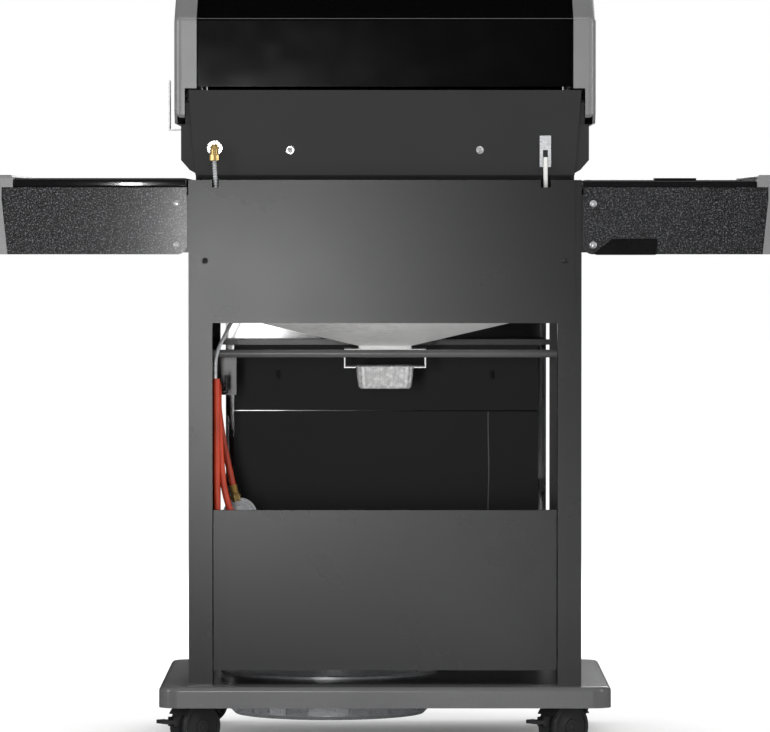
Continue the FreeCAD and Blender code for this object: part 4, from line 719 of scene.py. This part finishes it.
class GRILL_OT_gas_line(bpy.types.Operator):
    """Bend the ribbed gas line of the back burner and screw on its elbow"""
    bl_idname = "grill.gas_line"
    bl_label = "Back burner's gas line"

    def execute(self, context):
        line = smooth_line(LINE_ROUTE, 1500)
        run = np.concatenate([[0], np.cumsum(np.linalg.norm(np.diff(line, axis=0), axis=1))])
        rib_pitch = 0.0042
        ribs = 0.0034 + 0.0006 * np.cos(2 * math.pi * run / rib_pitch)
        piece("ribbed_gas_line", tube(line, ribs, 14, hint=(1, 0, 0)), "zinc", "cart", "rear_gas_line",
              angle=80)
        start = span("firebox_back_panel")[1][1] - 0.0005
        spot = np.array((0.273, start, 0.965))
        disc = [(0, 0), (0.0118, 0), (0.0125, 0.0005), (0.0125, 0.0015), (0.0118, 0.002), (0, 0.002)]
        bend = smooth_line([(0.273, start + 0.009, 0.965), (0.273, start + 0.0135, 0.9635),
                            (0.273, start + 0.0145, 0.957), (0.273, start + 0.0145, 0.947)], 24)
        brass = together(moved(nut(0.0150, 0.008), spot + (0, 0.002, 0), (0, 1, 0)),
                         moved(revolve([(0, 0), (0.0058, 0), (0.0058, 0.004), (0, 0.004)]),
                               spot + (0, 0.008, 0), (0, 1, 0)),
                         tube(bend, 0.0062, 24, hint=(1, 0, 0)),
                         moved(nut(0.0165, 0.010), (0.273, start + 0.0145, 0.955), (0, 0, -1)))
        piece("inlet_disc", moved(revolve(disc, 48), spot, (0, 1, 0)), "chrome", "cart")
        piece("inlet_elbow", brass, "brass", "cart", "rear_gas_elbow", angle=28)
        return {"FINISHED"}


def tray(half, levels, corner=7.0, pleats=44, depth=0.0009, segments=264):
    """Rounded square tray about Z: each level is (share of the half width, height, how strong the pleats
    are), the outline is a superellipse, and the pleats are a cosine of the angle added to it."""
    turn = np.linspace(0, 2 * math.pi, segments, endpoint=False)
    square = (abs(np.cos(turn)) ** corner + abs(np.sin(turn)) ** corner) ** (-1 / corner)
    share, height, strong = np.array(levels, float).T
    reach = np.outer(share * half, square) + np.outer(strong * depth, np.cos(pleats * turn))
    lift = height[:, None] + 0.0005 * strong[:, None] * np.sin(9 * turn + share[:, None] * 7)
    return surface(np.stack([reach * np.cos(turn), reach * np.sin(turn), lift + 0 * reach], -1), wrap_v=True)


class GRILL_OT_cup(bpy.types.Operator):
    """Press the foil cup that hangs under the funnel"""
    bl_idname = "grill.cup"
    bl_label = "Foil cup"

    def execute(self, context):
        low, high = span("grease_cup")
        middle = (low + high) / 2
        half = (high[0] - low[0]) / 2 - 0.0006
        tall = high[2] - low[2] - 0.0012
        outside = [(0, 0, 0), (0.5, 0, 0.1), (0.80, 0.0002, 0.3), (0.845, 0.003, 0.7), (0.87, 0.012, 1),
                   (0.90, tall * 0.6, 1), (0.915, tall - 0.0022, 0.9), (0.955, tall - 0.0016, 0.8),
                   (0.985, tall - 0.0020, 0.5), (0.992, tall - 0.0008, 0.5)]
        inside = [(0.97, tall, 0.5), (0.93, tall - 0.0006, 0.8), (0.905, tall - 0.0018, 0.9),
                  (0.89, tall * 0.6, 1), (0.86, 0.012, 1), (0.835, 0.0034, 0.7), (0.79, 0.0008, 0.3),
                  (0.5, 0.0006, 0.1), (0, 0.0006, 0)]
        piece("foil_cup", moved(tray(half, outside + inside), (middle[0], middle[1], low[2] + 0.0006)),
              "foil", "cup", "grease_cup", angle=60)
        return {"FINISHED"}


class GRILL_OT_chain(bpy.types.Operator):
    """Hang the ball chain for the match holder on the door"""
    bl_idname = "grill.chain"
    bl_label = "Ball chain"

    def execute(self, context):
        low, high = span("match_chain")
        x, y = (low + high)[:2] / 2
        drop = np.arange(high[2] - 0.0002, low[2] + 0.004, -0.0003)
        sway = 0.0006 * np.sin(drop * 40)
        place = (drop - low[2]) % 0.0036 - 0.0018
        beads = np.sqrt(np.clip(0.0014 ** 2 - place ** 2, 0.0004 ** 2, None))
        line = np.column_stack([x + sway, y + 0 * drop, drop])
        piece("ball_chain", tube(line, beads, 12, hint=(0, 1, 0)), "chrome", "door", "match_chain", angle=60)
        return {"FINISHED"}


class GRILL_OT_regulator(bpy.types.Operator):
    """Fit the hose's ribbed coupling and its regulator"""
    bl_idname = "grill.regulator"
    bl_label = "Regulator"

    def execute(self, context):
        route = np.array(HOSE_ROUTE)
        end, ahead = route[-1], route[-1] - route[-2]
        ahead /= np.linalg.norm(ahead)
        height = np.linspace(0, 0.016, 65)
        ferrule = [(0, 0)] + [(0.0064 + 0.0005 * math.cos(step * math.pi / 4), level)
                              for step, level in enumerate(height)] + [(0, 0.016)]
        coupling = together(moved(revolve(ferrule, 36), end, ahead),
                            moved(nut(0.0176, 0.015, 0.0008), end + ahead * 0.0165, ahead))
        piece("hose_coupling", coupling, "brass", "cart", "hose_fittings", angle=40)
        middle = end + ahead * 0.050
        bell = [(0, -0.0118), (0.006, -0.0118), (0.007, -0.0108), (0.0075, -0.0092), (0.017, -0.0088),
                (0.0215, -0.0078), (0.0235, -0.005), (0.024, -0.0022), (0.0272, -0.0018), (0.028, -0.001),
                (0.028, 0.0012), (0.0272, 0.002), (0.0240, 0.0024), (0.0232, 0.006), (0.020, 0.0095),
                (0.0125, 0.0105), (0.0118, 0.0118), (0, 0.0118)]
        spine = revolve([(0, 0), (0.005, 0), (0.005, 0.026), (0.0062, 0.03), (0, 0.03)], 32)
        outlet = revolve([(0, 0), (0.0062, 0), (0.0062, 0.020), (0.0074, 0.021), (0.0074, 0.024),
                          (0.0062, 0.025), (0.0062, 0.028)], 48)
        wheel = revolve([(0.0062, 0.028), (0.0072, 0.0285), (0.0076, 0.030), (0.0076, 0.042),
                         (0.0072, 0.0445),
                         (0.0045, 0.0455), (0.0045, 0.040), (0, 0.040)], 120, 20, 0.03)
        body = together(moved(revolve(bell, 72), middle, (0, 1, 0)), moved(spine, end + ahead * 0.031, ahead),
                        moved(outlet, middle, (-1, 0, 0)), moved(wheel, middle, (-1, 0, 0)))
        rim = [moved(screw_head(0.0018, 0.0014), middle + (0.0257 * math.cos(turn), 0.0019,
                                                           0.0257 * math.sin(turn)), (0, 1, 0))
               for turn in np.arange(6) * math.pi / 3 + 0.3]
        piece("bell_regulator", together(body, *rim), "zinc", "cart", "regulator", angle=40)
        return {"FINISHED"}


# Each caster and the angle at which it trails, in degrees from +X.
CASTERS = (("front_left", 215), ("front_right", 325), ("rear_left", 40), ("rear_right", 40))


class GRILL_OT_wheels(bpy.types.Operator):
    """Turn the twin discs of the casters"""
    bl_idname = "grill.wheels"
    bl_label = "Caster wheels"

    def execute(self, context):
        inner, outer = 0.0096, 0.0204
        disc = [(0, inner), (0.034, inner), (0.036, inner + 0.0006), (0.0370, inner + 0.0024),
                (0.0370, outer - 0.0024), (0.036, outer - 0.0006), (0.034, outer), (0.0305, outer),
                (0.0298, outer - 0.0004), (0.0290, outer - 0.0024), (0.0130, outer - 0.0024),
                (0.0118, outer - 0.0018), (0.0112, outer - 0.0002), (0.0100, outer), (0.0068, outer),
                (0.0062, outer - 0.0012), (0.0048, outer - 0.0012), (0.0042, outer - 0.0004), (0, outer)]
        far = [(radius, -height) for radius, height in disc]
        axle = [(0, -inner - 0.001), (0.003, -inner - 0.001), (0.003, inner + 0.001), (0, inner + 0.001)]
        for corner, angle in CASTERS:
            node = "caster_wheel_" + corner
            middle = sum(span(node)) / 2
            turn = math.radians(angle)
            shape = together(revolve(disc, 72), revolve(far, 72), revolve(axle, 24))
            piece("wheel_" + corner, moved(shape, middle, (-math.sin(turn), math.cos(turn), 0)),
                  "caster_plastic", "wheel_" + corner, node, angle=35)
        return {"FINISHED"}


class GRILL_OT_knobs(bpy.types.Operator):
    """Turn the four control knobs with their grips and bezels"""
    bl_idname = "grill.knobs"
    bl_label = "Knobs"

    def execute(self, context):
        for number in range(1, 5):
            low, high = span(f"knob_{number}")
            middle = (low + high) / 2
            full = (high[0] - low[0]) / 2
            start = (middle[0], high[1], middle[2])
            tall = high[1] - low[1]
            skirt = [(0, 0), (full, 0), (full, tall * 0.14), (full * 0.97, tall * 0.2),
                     (full * 0.84, tall * 0.27), (0, tall * 0.27)]
            grip = [(0, tall * 0.2), (full * 0.80, tall * 0.2), (full * 0.78, tall * 0.35),
                    (full * 0.76, tall * 0.86), (full * 0.70, tall * 0.96), (full * 0.62, tall), (0, tall)]
            mark = block((-0.0009, full * 0.2, tall * 0.985), (0.0009, full * 0.6, tall * 0.9995), 0.00004, 1)
            body = f"burner_knob_{number}"
            shape = together(revolve(skirt, 72), revolve(grip, 144, 18, 0.02))
            piece(f"knob_grip_{number}", moved(shape, start, FRONT), "knob_black", body, f"knob_{number}",
                  angle=40)
            piece(f"knob_mark_{number}", moved(mark, start, FRONT), "lead_white", body)
            ring = [(full * 0.86, tall * 0.2), (full * 1.0, tall * 0.145), (full * 1.0, tall * 0.17),
                    (full * 0.87, tall * 0.29), (full * 0.82, tall * 0.30), (full * 0.82, tall * 0.2)]
            piece(f"knob_bezel_{number}", moved(revolve(ring, 96), start, FRONT), "chrome", body)
        return {"FINISHED"}


class GRILL_OT_rail(bpy.types.Operator):
    """Bend the round rail across the back opening"""
    bl_idname = "grill.rail"
    bl_label = "Back rail"

    def execute(self, context):
        low, high = span("cabinet_rail")
        radius = 0.00625
        x, y, z = high[0] - radius, high[1] - radius, (low[2] + high[2]) / 2
        bend = np.linspace(0, math.pi / 2, 9)
        turn_x, turn_y = x - 0.012 + 0.012 * np.cos(bend), y - 0.012 + 0.012 * np.sin(bend)
        right = np.column_stack([turn_x, turn_y])
        side = np.concatenate([[(x, low[1] + 0.0005)], right, right[::-1] * (-1, 1), [(-x, low[1] + 0.0005)]])
        line = np.column_stack([side, np.full(len(side), z)])
        piece("round_rail", tube(line, radius, 28), "frame_grey", "cart", "cabinet_rail")
        return {"FINISHED"}


class GRILL_OT_shelf_sheet(bpy.types.Operator):
    """Fold the rounded sheet on top of the fixed shelf"""
    bl_idname = "grill.shelf_sheet"
    bl_label = "Shelf sheet"

    def execute(self, context):
        low, high = span("shelf_right_top")
        piece("shelf_sheet_right", block(low, high, 0.0035, 5), "gloss_trim", "cart", "shelf_right_top")
        return {"FINISHED"}


GAUGE_MIDDLE = (0, -0.1835, 1.159)
GAUGE_LEAN = math.radians(41.3)


class GRILL_OT_thermometer(bpy.types.Operator):
    """Build the thermometer on the hood: bezel, dial, ticks, needle and hub"""
    bl_idname = "grill.thermometer"
    bl_label = "Thermometer"

    def execute(self, context):
        face = np.array((0, -math.sin(GAUGE_LEAN), math.cos(GAUGE_LEAN)))
        ring = [(0.0, 0.0), (0.0345, 0.0), (0.0358, 0.001), (0.0358, 0.006), (0.0350, 0.0074),
                (0.0330, 0.0078), (0.0312, 0.0072), (0.0304, 0.0058), (0.0304, 0.0050), (0.0, 0.0050)]
        tick = block((-0.0004, 0.0255, 0.0), (0.0004, 0.0290, 0.0002), 0.00005, 1)
        ticks = [moved(tick, (0, 0, 0.0051), (0, 0, 1), (math.sin(turn), math.cos(turn), 0))
                 for turn in np.radians(np.arange(-135, 136, 15))]
        needle = block((-0.0008, -0.006, 0.0053), (0.0008, 0.022, 0.0059), 0.0002, 1)
        hub = revolve([(0, 0.0051), (0.003, 0.0051), (0.003, 0.0064), (0, 0.0066)], 24)
        middle = np.array(GAUGE_MIDDLE) - face * 0.004
        piece("thermometer_case", moved(revolve(ring, 96), middle, face), "stainless", "lid", "thermometer")
        piece("thermometer_ticks", moved(together(*ticks, needle, hub), middle, face), "knob_black", "lid")
        return {"FINISHED"}


STEPS = (GRILL_OT_stage, GRILL_OT_finishes, GRILL_OT_regulator, GRILL_OT_hose, GRILL_OT_gas_line,
         GRILL_OT_screws, GRILL_OT_cup, GRILL_OT_chain, GRILL_OT_wheels, GRILL_OT_knobs, GRILL_OT_rail,
         GRILL_OT_shelf_sheet, GRILL_OT_thermometer)


class GRILL_PT_sidebar(bpy.types.Panel):
    """Lists the settings and the steps"""
    bl_label = "Gas grill"
    bl_idname = "GRILL_PT_sidebar"
    bl_space_type = "VIEW_3D"
    bl_region_type = "UI"
    bl_category = "Grill"

    def draw(self, context):
        for group in (context.scene.grill_stage, context.scene.grill_colours, context.scene.grill_parts):
            for name in group.bl_rna.properties.keys():
                if name not in {"rna_type", "name"}:
                    self.layout.prop(group, name)
        for step in STEPS:
            self.layout.operator(step.bl_idname)


GROUPS = {"grill_colours": GrillColours, "grill_stage": GrillStage, "grill_parts": GrillParts}


def register():
    for kind in (*GROUPS.values(), *STEPS, GRILL_PT_sidebar):
        bpy.utils.register_class(kind)
    for name, kind in GROUPS.items():
        setattr(bpy.types.Scene, name, PointerProperty(type=kind))


def unregister():
    for name in GROUPS:
        delattr(bpy.types.Scene, name)
    for kind in (GRILL_PT_sidebar, *reversed(STEPS), *GROUPS.values()):
        bpy.utils.unregister_class(kind)


def main():
    register()
    for step in STEPS:
        group, call = step.bl_idname.split(".")
        getattr(getattr(bpy.ops, group), call)()


if __name__ == "__main__":
    main()
